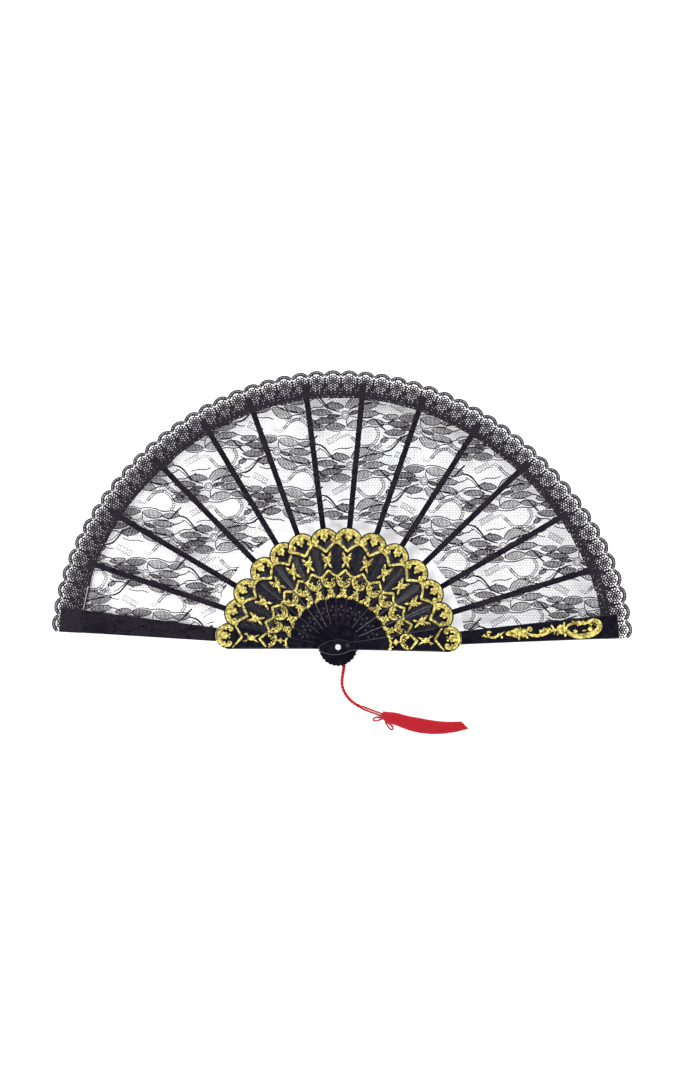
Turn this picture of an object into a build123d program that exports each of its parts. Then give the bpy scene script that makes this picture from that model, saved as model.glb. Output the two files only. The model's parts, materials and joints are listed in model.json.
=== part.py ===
"""A folding hand fan with moulded sticks, a pleated lace leaf and a tasselled cord.

Lengths are millimetres and angles degrees. The rivet's axis is Z, and the origin is the centre of the
rivet's rear head, on the surface that the open fan lies on. The sticks spread over +Y, and the front of
the fan looks up +Z. A stick's own axes are u, outwards along the stick, and v, across it to the left.
The rear guard is lowest, at the left, and each stick to its right lies one level higher.
"""
import os
from math import cos, pi, radians, sin, tan

from build123d import *

os.makedirs("parts", exist_ok=True)

# How far the fan opens: the rear guard's direction, then the gap from each stick to the next.
REAR_GUARD_ANGLE = 174.4
GAPS = (13.0, 12.1, 14.9, 13.4, 11.1, 12.7, 12.7, 13.4, 13.4, 13.6, 13.9, 13.3, 12.6)
STICKS = len(GAPS) + 1

# Stick blade, seen from the front.
TAIL_LENGTH = 14.6
TAIL_HALF_WIDTH = 1.4
TAIL_NOTCH = 0.7
HEAD_BULGE = (-3.5, 5.6)
NECK_END = 9.0
NECK_FLARE = 16.0
NECK_HALF_WIDTH = 3.4
SHOULDER = 81.5
SHOULDER_HALF_WIDTH = 10.5
GUARD_SHOULDER_HALF_WIDTH = 9.9
LOBE_TOP = 89.2

# Rib of a stick, and the outer blade of a guard.
RIB_START = 80.0
RIB_LENGTH = 197.0
RIB_WIDTH = 4.2
RIB_TIP_LENGTH = 7.0
RIB_TIP_WIDTH = 5.2
GUARD_LENGTH = 208.5
GUARD_NEAR_HALF_WIDTH = 4.6
GUARD_FAR_HALF_WIDTH = 9.1
GUARD_EDGE_BEVEL = 0.45

# Lace leaf with its scalloped edging: the rim bows out a little towards both guards.
LEAF_INNER = 95.0
GUARD_LEAF_ANGLE = 2.6
RIM_RADIUS = 206.0
RIM_BOW = 10.8
RIM_BOW_SKEW = 2.2

# Levels, from the surface up.
RIVET_HEAD_THICKNESS = 0.9
CORD_EYE_THICKNESS = 1.5
CLEARANCE = 0.05
GUARD_THICKNESS = 1.8
RIB_THICKNESS = 0.40
LACE_THICKNESS = 0.15
BLADE_THICKNESS = RIB_THICKNESS + LACE_THICKNESS
LEVEL = BLADE_THICKNESS + LACE_THICKNESS + 2 * CLEARANCE
HUB_THICKNESS = LEVEL - CLEARANCE
REAR_GUARD_BOTTOM = 2.6
GUARD_LEVEL = GUARD_THICKNESS + LEVEL - RIB_THICKNESS
FIRST_STICK_BOTTOM = REAR_GUARD_BOTTOM + GUARD_LEVEL
FRONT_GUARD_BOTTOM = FIRST_STICK_BOTTOM + LEVEL * (STICKS - 2)
FRONT_GUARD_TOP = FRONT_GUARD_BOTTOM + LACE_THICKNESS + GUARD_THICKNESS

# Rivet.
SHANK_RADIUS = 1.1
HOLE_RADIUS = SHANK_RADIUS + CLEARANCE
REAR_HEAD_RADIUS = 2.8
CAP_RADIUS = 2.2
CAP_HEIGHT = 1.4
CAP_RIM = 0.35
SHANK_STANDS_PROUD = 0.7

# Cord, eye and tassel.
CORD_DIAMETER = 1.6
CORD_EYE_RADIUS = 2.7
CORD_ROUTE = [
    (0.9, -2.75, 1.72),
    (3.3, -8.4, 1.35),
    (4.7, -14.4, 0.86),
    (3.5, -21.2, 0.82),
    (2.5, -27.6, 0.82),
    (4.3, -34.0, 0.82),
    (8.4, -39.9, 0.82),
    (14.4, -44.3, 0.82),
    (21.4, -47.2, 0.82),
    (29.6, -50.2, 1.1),
]
TASSEL_BOTTOM = 0.05
TASSEL_HEAD_HEIGHT = 4.6
TASSEL_SKIRT_HEIGHT = 5.4
TASSEL_EDGE = 0.9
TASSEL_HEAD = [(30.0, -48.6), (36.9, -48.9), (37.4, -56.2), (33.6, -54.9), (29.9, -52.4)]
TASSEL_UPPER_EDGE = [(37.0, -48.9), (46.5, -50.1), (60.0, -53.5), (75.0, -56.5), (91.5, -56.6)]
TASSEL_LOWER_EDGE = [(92.6, -62.0), (78.0, -65.0), (62.0, -64.2), (49.0, -61.0), (37.5, -56.2)]
TASSEL_POINT = (96.6, -60.0)
KNOT_LOOPS = [((28.9, -56.2), 6.4, 2.9, 6.0), ((38.3, -60.4), 6.8, 2.7, -52.0)]
LOOP_THREAD = 0.8

# Raised scroll on the front guard's outer blade.
SCROLL_HEIGHT = 0.25
SCROLL_STEM = [(109.0, 1.4), (122.0, -1.6), (137.0, 1.2), (152.0, -2.2), (169.5, 0.6)]
SCROLL_STEM_WIDTH = 2.4
SCROLL_SHELL_CENTRE = (181.0, 0.2)
SCROLL_SHELL_SIZE = (13.4, 5.8)
SCROLL_SHELL_WIDTH = 3.0


def stick_angle(index):
    """Direction of a stick, from the rear guard (0) to the front guard (13)."""
    return REAR_GUARD_ANGLE - sum(GAPS[:index])


def stick_bottom(index):
    """Height of a stick's underside."""
    if index == 0:
        return REAR_GUARD_BOTTOM
    return FIRST_STICK_BOTTOM + LEVEL * (index - 1)


def stick_plane(index, height):
    """A plane at a height with its x axis along the stick and its y axis to the stick's left."""
    angle = radians(stick_angle(index))
    return Plane(origin=(0, 0, height), x_dir=(cos(angle), sin(angle), 0), z_dir=(0, 0, 1))


def head_profile():
    """Lens-shaped head with a notched tail: the part of a stick that stacks up round the rivet."""
    lower_bulge = (HEAD_BULGE[0], -HEAD_BULGE[1])
    with BuildSketch() as profile:
        with BuildLine():
            Polyline(
                (-TAIL_LENGTH, -TAIL_HALF_WIDTH),
                (-TAIL_LENGTH + TAIL_NOTCH, 0),
                (-TAIL_LENGTH, TAIL_HALF_WIDTH),
            )
            ThreePointArc((-TAIL_LENGTH, TAIL_HALF_WIDTH), HEAD_BULGE, (NECK_END, NECK_HALF_WIDTH))
            Line((NECK_END, NECK_HALF_WIDTH), (NECK_END, -NECK_HALF_WIDTH))
            ThreePointArc((NECK_END, -NECK_HALF_WIDTH), lower_bulge, (-TAIL_LENGTH, -TAIL_HALF_WIDTH))
        make_face()
    return profile.sketch


def blade_profile(shoulder_half_width):
    """The gorge part of a stick: head and tail, a neck that flares outwards, and a round lobe."""
    with BuildSketch() as profile:
        add(head_profile())
        with BuildLine():
            Polyline(
                (SHOULDER, -shoulder_half_width),
                (NECK_FLARE, -NECK_HALF_WIDTH),
                (NECK_END, -NECK_HALF_WIDTH),
                (NECK_END, NECK_HALF_WIDTH),
                (NECK_FLARE, NECK_HALF_WIDTH),
                (SHOULDER, shoulder_half_width),
            )
            ThreePointArc((SHOULDER, shoulder_half_width), (LOBE_TOP, 0), (SHOULDER, -shoulder_half_width))
        make_face()
    return profile.sketch


def guard_blade_profile():
    """The guard's outer blade, which widens outwards."""
    with BuildSketch() as profile:
        with BuildLine():
            Polyline(
                (RIB_START, -GUARD_NEAR_HALF_WIDTH),
                (GUARD_LENGTH, -GUARD_FAR_HALF_WIDTH),
                (GUARD_LENGTH, GUARD_FAR_HALF_WIDTH),
                (RIB_START, GUARD_NEAR_HALF_WIDTH),
                close=True,
            )
        make_face()
    return profile.sketch


def rim_radius(angle):
    """Radius of the leaf's outer edge in a direction."""
    lean = cos(radians(angle))
    return RIM_RADIUS + (RIM_BOW + RIM_BOW_SKEW * lean) * lean**6


def leaf_strip_profile(from_angle, to_angle):
    """One flat strip of the leaf between two directions, with a straight inner and outer edge."""
    corners = []
    for angle, radius in (
        (from_angle, LEAF_INNER),
        (from_angle, rim_radius(from_angle)),
        (to_angle, rim_radius(to_angle)),
        (to_angle, LEAF_INNER),
    ):
        corners.append((radius * cos(radians(angle)), radius * sin(radians(angle))))
    with BuildSketch() as profile:
        with BuildLine():
            Polyline(*corners, close=True)
        make_face()
    return profile.sketch


# Rear guard: the root piece, lowest in the stack.
rear_plane = stick_plane(0, REAR_GUARD_BOTTOM)
with BuildPart() as rear_guard:
    with BuildSketch(rear_plane):
        add(blade_profile(GUARD_SHOULDER_HALF_WIDTH))
    extrude(amount=GUARD_THICKNESS + LACE_THICKNESS)
    with BuildSketch(rear_plane):
        add(guard_blade_profile())
    extrude(amount=GUARD_THICKNESS)
    with BuildSketch(rear_plane):
        add(head_profile())
    extrude(amount=GUARD_LEVEL - CLEARANCE)
    with Locations(rear_plane):
        Hole(HOLE_RADIUS)
rear_guard.part.label = "rear_guard"
export_step(rear_guard.part, "parts/rear_guard.step")

# Inner sticks: a patterned blade near the rivet and a slim rib behind the lace.
for index in range(1, STICKS - 1):
    plane = stick_plane(index, stick_bottom(index))
    with BuildPart() as stick:
        with BuildSketch(plane):
            add(blade_profile(SHOULDER_HALF_WIDTH))
        extrude(amount=BLADE_THICKNESS)
        with BuildSketch(plane):
            add(head_profile())
        extrude(amount=HUB_THICKNESS)
        with BuildSketch(plane):
            with Locations(((RIB_START + RIB_LENGTH) / 2, 0)):
                Rectangle(RIB_LENGTH - RIB_START, RIB_WIDTH)
            with Locations((RIB_LENGTH - RIB_TIP_LENGTH / 2, 0)):
                RectangleRounded(RIB_TIP_LENGTH, RIB_TIP_WIDTH, RIB_TIP_WIDTH * 0.3)
        extrude(amount=RIB_THICKNESS)
        with Locations(plane):
            Hole(HOLE_RADIUS)
    stick.part.label = f"stick_{index:02d}"
    export_step(stick.part, f"parts/stick_{index:02d}.step")

# Front guard: the topmost stick, whose outer blade lies over the leaf's last strip.
front_plane = stick_plane(STICKS - 1, FRONT_GUARD_BOTTOM)
outer_blade_plane = stick_plane(STICKS - 1, FRONT_GUARD_BOTTOM + LACE_THICKNESS)
with BuildPart() as front_guard:
    with BuildSketch(front_plane):
        add(blade_profile(GUARD_SHOULDER_HALF_WIDTH))
    extrude(amount=GUARD_THICKNESS + LACE_THICKNESS)
    with BuildSketch(outer_blade_plane):
        add(guard_blade_profile())
    extrude(amount=GUARD_THICKNESS)
    front_outline = front_guard.faces().sort_by(Axis.Z)[-1].outer_wire().edges()
    chamfer(front_outline, GUARD_EDGE_BEVEL)
    with Locations(front_plane):
        Hole(HOLE_RADIUS)
front_guard.part.label = "front_guard"
export_step(front_guard.part, "parts/front_guard.step")

# The gilt scroll that stands up from the front guard's outer blade.
scroll_plane = stick_plane(STICKS - 1, FRONT_GUARD_TOP)
with BuildPart() as guard_scroll:
    with BuildSketch(scroll_plane):
        with BuildLine():
            stem = Spline(*SCROLL_STEM)
        trace(stem, SCROLL_STEM_WIDTH)
        with Locations(SCROLL_SHELL_CENTRE):
            Ellipse(*SCROLL_SHELL_SIZE)
            shell_hole = (
                SCROLL_SHELL_SIZE[0] - SCROLL_SHELL_WIDTH,
                SCROLL_SHELL_SIZE[1] - SCROLL_SHELL_WIDTH,
            )
            Ellipse(*shell_hole, mode=Mode.SUBTRACT)
    extrude(amount=SCROLL_HEIGHT)
guard_scroll.part.label = "guard_scroll"
export_step(guard_scroll.part, "parts/guard_scroll.step")

# Lace leaf: a strip glued on each rib and guard, and a strip between two sticks that folds over.
leaf_strips = {
    "leaf_end_rear": (
        stick_angle(0) + GUARD_LEAF_ANGLE,
        stick_angle(0) - GAPS[0] / 4,
        REAR_GUARD_BOTTOM + GUARD_THICKNESS,
    ),
    "leaf_end_front": (
        stick_angle(STICKS - 1) + GAPS[-1] / 4,
        stick_angle(STICKS - 1) - GUARD_LEAF_ANGLE,
        FRONT_GUARD_BOTTOM,
    ),
}
for index in range(1, STICKS - 1):
    leaf_strips[f"leaf_panel_{index:02d}"] = (
        stick_angle(index) + GAPS[index - 1] / 4,
        stick_angle(index) - GAPS[index] / 4,
        stick_bottom(index) + RIB_THICKNESS,
    )
for index in range(STICKS - 1):
    leaf_strips[f"leaf_fold_{index + 1:02d}"] = (
        stick_angle(index) - GAPS[index] / 4,
        stick_angle(index) - GAPS[index] * 3 / 4,
        stick_bottom(index + 1) - CLEARANCE - LACE_THICKNESS,
    )

for strip_name, (left_edge, right_edge, strip_bottom) in leaf_strips.items():
    with BuildPart() as leaf_strip:
        with BuildSketch(Plane.XY.offset(strip_bottom)):
            add(leaf_strip_profile(left_edge, right_edge))
        extrude(amount=LACE_THICKNESS)
    leaf_strip.part.label = strip_name
    export_step(leaf_strip.part, f"parts/{strip_name}.step")

# Rivet: a headed pin, and the domed cap pressed on its front end.
shank_top = FRONT_GUARD_TOP + SHANK_STANDS_PROUD
with BuildPart() as rivet_pin:
    Cylinder(REAR_HEAD_RADIUS, RIVET_HEAD_THICKNESS, align=(Align.CENTER, Align.CENTER, Align.MIN))
    fillet(rivet_pin.edges().group_by(Axis.Z)[-1], RIVET_HEAD_THICKNESS / 2)
    Cylinder(SHANK_RADIUS, shank_top, align=(Align.CENTER, Align.CENTER, Align.MIN))
rivet_pin.part.label = "rivet_pin"
export_step(rivet_pin.part, "parts/rivet_pin.step")

cap_bottom = FRONT_GUARD_TOP + CLEARANCE
dome_height = CAP_HEIGHT - CAP_RIM
dome_radius = (CAP_RADIUS**2 + dome_height**2) / (2 * dome_height)
with BuildPart() as rivet_cap:
    with Locations((0, 0, cap_bottom + CAP_HEIGHT - dome_radius)):
        Sphere(dome_radius)
    split(bisect_by=Plane.XY.offset(cap_bottom + CAP_RIM), keep=Keep.TOP)
    with Locations((0, 0, cap_bottom)):
        Cylinder(CAP_RADIUS, CAP_RIM, align=(Align.CENTER, Align.CENTER, Align.MIN))
    Cylinder(
        SHANK_RADIUS,
        shank_top,
        align=(Align.CENTER, Align.CENTER, Align.MIN),
        mode=Mode.SUBTRACT,
    )
rivet_cap.part.label = "rivet_cap"
export_step(rivet_cap.part, "parts/rivet_cap.step")

# Cord: an eye round the rivet behind the rear guard, then a limp run to the tassel.
with BuildPart() as cord_eye:
    with BuildSketch(Plane.XY.offset(RIVET_HEAD_THICKNESS + CLEARANCE)):
        Circle(CORD_EYE_RADIUS)
        Circle(HOLE_RADIUS, mode=Mode.SUBTRACT)
    extrude(amount=CORD_EYE_THICKNESS)
cord_eye.part.label = "cord_eye"
export_step(cord_eye.part, "parts/cord_eye.step")

corner_radii = []
for before, corner, after in zip(CORD_ROUTE, CORD_ROUTE[1:], CORD_ROUTE[2:]):
    run_in = Vector(*corner) - Vector(*before)
    run_out = Vector(*after) - Vector(*corner)
    half_turn = radians(run_in.get_angle(run_out) / 2)
    corner_radii.append(0.45 * min(run_in.length, run_out.length) / tan(half_turn))
print("cord corner radii:", [round(radius, 1) for radius in corner_radii])

with BuildPart() as cord:
    with BuildLine():
        cord_path = FilletPolyline(*CORD_ROUTE, radius=corner_radii)
    with BuildSketch(Plane(origin=cord_path @ 0, z_dir=cord_path % 0)):
        Circle(CORD_DIAMETER / 2)
    sweep()
cord.part.label = "cord"
export_step(cord.part, "parts/cord.step")
tube_volume = pi * (CORD_DIAMETER / 2) ** 2 * cord_path.length
print("cord length", round(cord_path.length, 2), "volume ratio", round(cord.part.volume / tube_volume, 4))

# Tassel: the bound head that the cord runs into, the skirt of threads and two loose loops of its knot.
with BuildPart() as tassel_head:
    with BuildSketch(Plane.XY.offset(TASSEL_BOTTOM)):
        with BuildLine():
            Polyline(*TASSEL_HEAD, close=True)
        make_face()
    extrude(amount=TASSEL_HEAD_HEIGHT)
    chamfer(tassel_head.faces().sort_by(Axis.Z)[-1].edges(), TASSEL_EDGE)
tassel_head.part.label = "tassel_head"
export_step(tassel_head.part, "parts/tassel_head.step")

with BuildPart() as tassel_skirt:
    with BuildSketch(Plane.XY.offset(TASSEL_BOTTOM)):
        with BuildLine():
            Polyline(*TASSEL_UPPER_EDGE, TASSEL_POINT, *TASSEL_LOWER_EDGE, close=True)
        make_face()
    extrude(amount=TASSEL_SKIRT_HEIGHT)
    chamfer(tassel_skirt.faces().sort_by(Axis.Z)[-1].edges(), TASSEL_EDGE)
tassel_skirt.part.label = "tassel_skirt"
export_step(tassel_skirt.part, "parts/tassel_skirt.step")

with BuildPart() as knot_loops:
    for centre, length, width, turn in KNOT_LOOPS:
        with BuildSketch(Plane.XY.offset(TASSEL_BOTTOM)):
            with Locations(Location((*centre, 0), (0, 0, turn))):
                Ellipse(length / 2, width / 2)
                Ellipse(length / 2 - LOOP_THREAD, width / 2 - LOOP_THREAD, mode=Mode.SUBTRACT)
        extrude(amount=LOOP_THREAD)
knot_loops.part.label = "knot_loops"
export_step(knot_loops.part, "parts/knot_loops.step")
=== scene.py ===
"""The looks of a folding lace hand fan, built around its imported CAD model.

Lengths inside the classes are in millimetres, and are brought to metres where a mesh is made.
"""

import json
import logging
import math
import random
from collections.abc import Iterable, Sequence
from dataclasses import dataclass, field
from enum import Enum

import bpy
from bpy.types import ID, Material, Mesh, Node, NodeSocket, NodeTree, Object
from mathutils import Matrix, Vector


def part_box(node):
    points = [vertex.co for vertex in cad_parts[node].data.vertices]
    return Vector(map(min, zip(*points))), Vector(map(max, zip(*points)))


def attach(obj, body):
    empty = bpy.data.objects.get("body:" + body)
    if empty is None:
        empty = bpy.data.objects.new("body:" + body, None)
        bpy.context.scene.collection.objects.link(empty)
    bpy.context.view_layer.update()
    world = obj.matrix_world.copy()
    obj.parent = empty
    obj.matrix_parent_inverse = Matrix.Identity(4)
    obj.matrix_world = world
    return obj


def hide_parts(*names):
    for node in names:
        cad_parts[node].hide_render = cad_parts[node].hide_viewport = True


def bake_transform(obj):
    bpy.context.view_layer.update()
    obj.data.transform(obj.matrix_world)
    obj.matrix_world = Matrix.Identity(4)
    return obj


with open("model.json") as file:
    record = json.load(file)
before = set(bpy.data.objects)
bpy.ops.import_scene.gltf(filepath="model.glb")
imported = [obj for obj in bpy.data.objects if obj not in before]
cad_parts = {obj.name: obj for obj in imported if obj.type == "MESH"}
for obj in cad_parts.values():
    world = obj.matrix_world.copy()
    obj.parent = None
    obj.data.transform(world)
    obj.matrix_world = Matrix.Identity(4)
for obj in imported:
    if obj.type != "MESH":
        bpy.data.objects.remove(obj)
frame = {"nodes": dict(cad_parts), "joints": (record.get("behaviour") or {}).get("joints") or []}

log = logging.getLogger("fan")
MM = 0.001
Point = tuple[float, float]
Knot = tuple[float, float, float]


# ---------------------------------------------------------------------------------------------
# Bench: Blender's operators, one piece at a time
# ---------------------------------------------------------------------------------------------


def take(*pieces: Object) -> None:
    """Select these pieces alone, and make the first one active.

    Args:
        pieces: the objects that the next operator is to act on.
    """
    bpy.ops.object.select_all(action="DESELECT")
    for piece in pieces:
        piece.select_set(True)
    bpy.context.view_layer.objects.active = pieces[0]


def add_object(name: str, data: ID) -> Object:
    """Put new data on the bench as an object at the origin.

    Args:
        name: the object's name.
        data: its mesh or curve.

    Returns:
        The object, linked to the scene.
    """
    piece = bpy.data.objects.new(name, data)
    bpy.context.scene.collection.objects.link(piece)
    return piece


def drop(*pieces: Object) -> None:
    """Take pieces off the bench with their data.

    Args:
        pieces: the objects that are no longer needed.
    """
    for piece in pieces:
        data = piece.data
        bpy.data.objects.remove(piece)
        if isinstance(data, Mesh):
            bpy.data.meshes.remove(data)
        else:
            bpy.data.curves.remove(data)


def copy_piece(model: Object, name: str, place: Matrix) -> Object:
    """Copy a piece with its own mesh, and move the mesh, not the object.

    Args:
        model: the piece to copy.
        name: the copy's name.
        place: where the copy's mesh goes.

    Returns:
        The copy.
    """
    mesh = model.data.copy()
    mesh.transform(place)
    mesh.name = name
    return add_object(name, mesh)


def join(name: str, pieces: Sequence[Object]) -> Object:
    """Join pieces into one object.

    Args:
        name: the joined object's name.
        pieces: the pieces, which are used up.

    Returns:
        The joined object.
    """
    take(*pieces)
    if len(pieces) > 1:
        bpy.ops.object.join()
    joined = bpy.context.view_layer.objects.active
    joined.name = name
    joined.data.name = name
    return joined


def edit(piece: Object) -> None:
    """Open a piece in edit mode with all of it selected.

    Args:
        piece: the mesh object to work on.
    """
    take(piece)
    bpy.ops.object.mode_set(mode="EDIT")
    bpy.ops.mesh.select_all(action="SELECT")


def leave_edit() -> None:
    """Go back to object mode."""
    bpy.ops.object.mode_set(mode="OBJECT")


def bisect(piece: Object, cuts: Iterable[tuple[Vector, Vector]]) -> None:
    """Cut a piece by planes, and keep the side that each plane's normal points away from.

    Args:
        piece: the mesh object to cut.
        cuts: a point and an outward normal for each plane, in metres.
    """
    edit(piece)
    for point, normal in cuts:
        bpy.ops.mesh.select_all(action="SELECT")
        bpy.ops.mesh.bisect(plane_co=point, plane_no=normal, clear_outer=True)
    leave_edit()


def array(piece: Object, count: int, offset: Point) -> None:
    """Repeat a piece in a row and weld the repeats together.

    Args:
        piece: the mesh object to repeat.
        count: how many there are in the row.
        offset: step from one to the next, in millimetres.
    """
    take(piece)
    row = piece.modifiers.new("row", "ARRAY")
    row.count = count
    row.use_relative_offset = False
    row.use_constant_offset = True
    row.constant_offset_displace = (offset[0] * MM, offset[1] * MM, 0)
    bpy.ops.object.modifier_apply(modifier=row.name)


def smooth(piece: Object, angle: float = 50.0) -> None:
    """Shade a piece smooth, except across sharp edges.

    Args:
        piece: the mesh object.
        angle: edges sharper than this stay sharp, in degrees.
    """
    take(piece)
    bpy.ops.object.shade_smooth_by_angle(angle=math.radians(angle))


@dataclass(frozen=True)
class Stroke:
    """A drawn line of changing width.

    Attributes:
        knots: (x, y, half width) of each point, in millimetres.
        closed: True where the line returns to its start.
        curved: False for straight runs between the points.
    """

    knots: tuple[Knot, ...]
    closed: bool = False
    curved: bool = True


def draw(name: str, strokes: Iterable[Stroke], corners: int = 0, steps: int = 3) -> Object:
    """Draw strokes as round rods in one mesh, lying along z = 0.

    Args:
        name: the object's name.
        strokes: the lines to draw.
        corners: 0 for rods of four sides, more for rounder ones.
        steps: how many runs a curved line has from one point to the next.

    Returns:
        The mesh object.
    """
    curve = bpy.data.curves.new(name, "CURVE")
    curve.dimensions = "3D"
    curve.bevel_depth = MM
    curve.bevel_resolution = corners
    curve.resolution_u = steps
    curve.use_fill_caps = True
    for stroke in strokes:
        spline = curve.splines.new("NURBS" if stroke.curved and len(stroke.knots) > 2 else "POLY")
        spline.points.add(len(stroke.knots) - 1)
        for point, (x, y, half_width) in zip(spline.points, stroke.knots):
            point.co = (x * MM, y * MM, 0, 1)
            point.radius = half_width
        spline.use_cyclic_u = stroke.closed
        spline.order_u = 3
        spline.use_endpoint_u = not stroke.closed
    drawing = add_object(name, curve)
    take(drawing)
    bpy.ops.object.convert(target="MESH")
    drawn = bpy.context.view_layer.objects.active
    drawn.name = name
    return drawn


def press(piece: Object, crest: float, slope: float) -> None:
    """Press rods flat into low relief, so that wide ones are no higher than the crest.

    Args:
        piece: the mesh object, lying along z = 0.
        crest: highest relief, in millimetres.
        slope: rod height that the pressing brings near the crest, in millimetres.
    """
    for vertex in piece.data.vertices:
        vertex.co.z = crest * MM * math.tanh(vertex.co.z / (slope * MM))


# ---------------------------------------------------------------------------------------------
# Finishes
# ---------------------------------------------------------------------------------------------


class Graph:
    """A node tree with short calls to add and join nodes."""

    def __init__(self, tree: NodeTree) -> None:
        """Work on a tree that is empty so far."""
        self.tree = tree

    def add(self, kind: str, inputs: dict | None = None, **settings: object) -> Node:
        """Add a node, set its properties and feed its inputs.

        Args:
            kind: the node's type name, without "ShaderNode".
            inputs: a value or an output socket for each input, by name or number.
            settings: the node's own properties.

        Returns:
            The node.
        """
        prefix = "" if kind.startswith("Node") else "ShaderNode"
        node = self.tree.nodes.new(prefix + kind)
        for key, value in settings.items():
            setattr(node, key, value)
        for key, value in (inputs or {}).items():
            if isinstance(value, NodeSocket):
                self.tree.links.new(value, node.inputs[key])
            else:
                node.inputs[key].default_value = value
        return node

    def ramp(self, value: NodeSocket, low: float, high: float, to: Point = (0, 1)) -> NodeSocket:
        """Bring a value's range to another range, held at its ends.

        Args:
            value: the socket to read.
            low: value that gives the first of the new range.
            high: value that gives the second.
            to: the new range.

        Returns:
            The socket with the new value.
        """
        keys = {"Value": value, "From Min": low, "From Max": high, "To Min": to[0], "To Max": to[1]}
        return self.add("MapRange", keys).outputs["Result"]

    def mix(self, factor: object, first: object, second: object) -> NodeSocket:
        """Mix two colours.

        Args:
            factor: 0 for the first colour, 1 for the second, a value or a socket.
            first: a colour or a socket.
            second: a colour or a socket.

        Returns:
            The mixed colour's socket.
        """
        node = self.add("Mix", data_type="RGBA")
        for index, value in ((0, factor), (6, first), (7, second)):
            if isinstance(value, NodeSocket):
                self.tree.links.new(value, node.inputs[index])
            else:
                node.inputs[index].default_value = value
        return node.outputs[2]


def grain_group() -> NodeTree:
    """Make the surface grain that the moulded and pressed finishes share.

    Returns:
        A group with Scale, Depth and Detail inputs, and Mask, Fine and Normal outputs.
    """
    group = bpy.data.node_groups.new("surface_grain", "ShaderNodeTree")
    for name, default in (("Scale", 400.0), ("Depth", 0.1), ("Detail", 4.0)):
        socket = group.interface.new_socket(name, in_out="INPUT", socket_type="NodeSocketFloat")
        socket.default_value = default
    for name, kind in (("Mask", "NodeSocketFloat"), ("Fine", "NodeSocketFloat"), ("Normal", "NodeSocketVector")):
        group.interface.new_socket(name, in_out="OUTPUT", socket_type=kind)
    graph = Graph(group)
    entry = graph.add("NodeGroupInput")
    coords = graph.add("TexCoord").outputs["Object"]
    coarse = graph.add(
        "TexNoise",
        {"Vector": coords, "Scale": entry.outputs["Scale"], "Detail": entry.outputs["Detail"]},
    )
    tenfold = graph.add("Math", {0: entry.outputs["Scale"], 1: 9.0}, operation="MULTIPLY")
    fine = graph.add("TexNoise", {"Vector": coords, "Scale": tenfold.outputs[0], "Detail": 2.0})
    both = graph.add("Math", {0: coarse.outputs["Fac"], 1: fine.outputs["Fac"]}, operation="ADD")
    bump = graph.add(
        "Bump",
        {"Strength": entry.outputs["Depth"], "Distance": 0.0002, "Height": both.outputs[0]},
    )
    graph.add(
        "NodeGroupOutput",
        {"Mask": coarse.outputs["Fac"], "Fine": fine.outputs["Fac"], "Normal": bump.outputs["Normal"]},
    )
    return group


def thread_group() -> NodeTree:
    """Make the spun-fibre look that lace, cord and tassel share.

    Returns:
        A group with Scale and Depth inputs, and Strand, Fuzz and Normal outputs.
    """
    group = bpy.data.node_groups.new("spun_fibre", "ShaderNodeTree")
    for name, default in (("Scale", 900.0), ("Depth", 0.3)):
        socket = group.interface.new_socket(name, in_out="INPUT", socket_type="NodeSocketFloat")
        socket.default_value = default
    for name, kind in (("Strand", "NodeSocketFloat"), ("Fuzz", "NodeSocketFloat"), ("Normal", "NodeSocketVector")):
        group.interface.new_socket(name, in_out="OUTPUT", socket_type=kind)
    graph = Graph(group)
    entry = graph.add("NodeGroupInput")
    coords = graph.add("TexCoord").outputs["Object"]
    strand = graph.add(
        "TexWave",
        {"Vector": coords, "Scale": entry.outputs["Scale"], "Distortion": 3.0, "Detail": 2.0},
        bands_direction="DIAGONAL",
    )
    fuzz = graph.add("TexNoise", {"Vector": coords, "Scale": entry.outputs["Scale"], "Detail": 3.0})
    both = graph.add("Math", {0: strand.outputs["Fac"], 1: fuzz.outputs["Fac"]}, operation="ADD")
    bump = graph.add(
        "Bump",
        {"Strength": entry.outputs["Depth"], "Distance": 0.00015, "Height": both.outputs[0]},
    )
    graph.add(
        "NodeGroupOutput",
        {"Strand": strand.outputs["Fac"], "Fuzz": fuzz.outputs["Fac"], "Normal": bump.outputs["Normal"]},
    )
    return group


GRAIN = grain_group()
FIBRE = thread_group()


def new_material(name: str) -> tuple[Material, Graph, Node]:
    """Start a material with a Principled shader.

    Args:
        name: the material's name.

    Returns:
        The material, its graph and its shader node.
    """
    material = bpy.data.materials.new(name)
    material.use_nodes = True
    graph = Graph(material.node_tree)
    material.node_tree.nodes.clear()
    shader = graph.add("BsdfPrincipled")
    graph.add("OutputMaterial", {"Surface": shader.outputs["BSDF"]})
    return material, graph, shader


def feed(graph: Graph, shader: Node, inputs: dict) -> None:
    """Feed a shader's inputs with values or sockets.

    Args:
        graph: the graph that the shader is in.
        shader: the shader node.
        inputs: a value or an output socket for each input, by name.
    """
    for key, value in inputs.items():
        if isinstance(value, NodeSocket):
            graph.tree.links.new(value, shader.inputs[key])
        else:
            shader.inputs[key].default_value = value


Colour = tuple[float, float, float, float]


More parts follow.
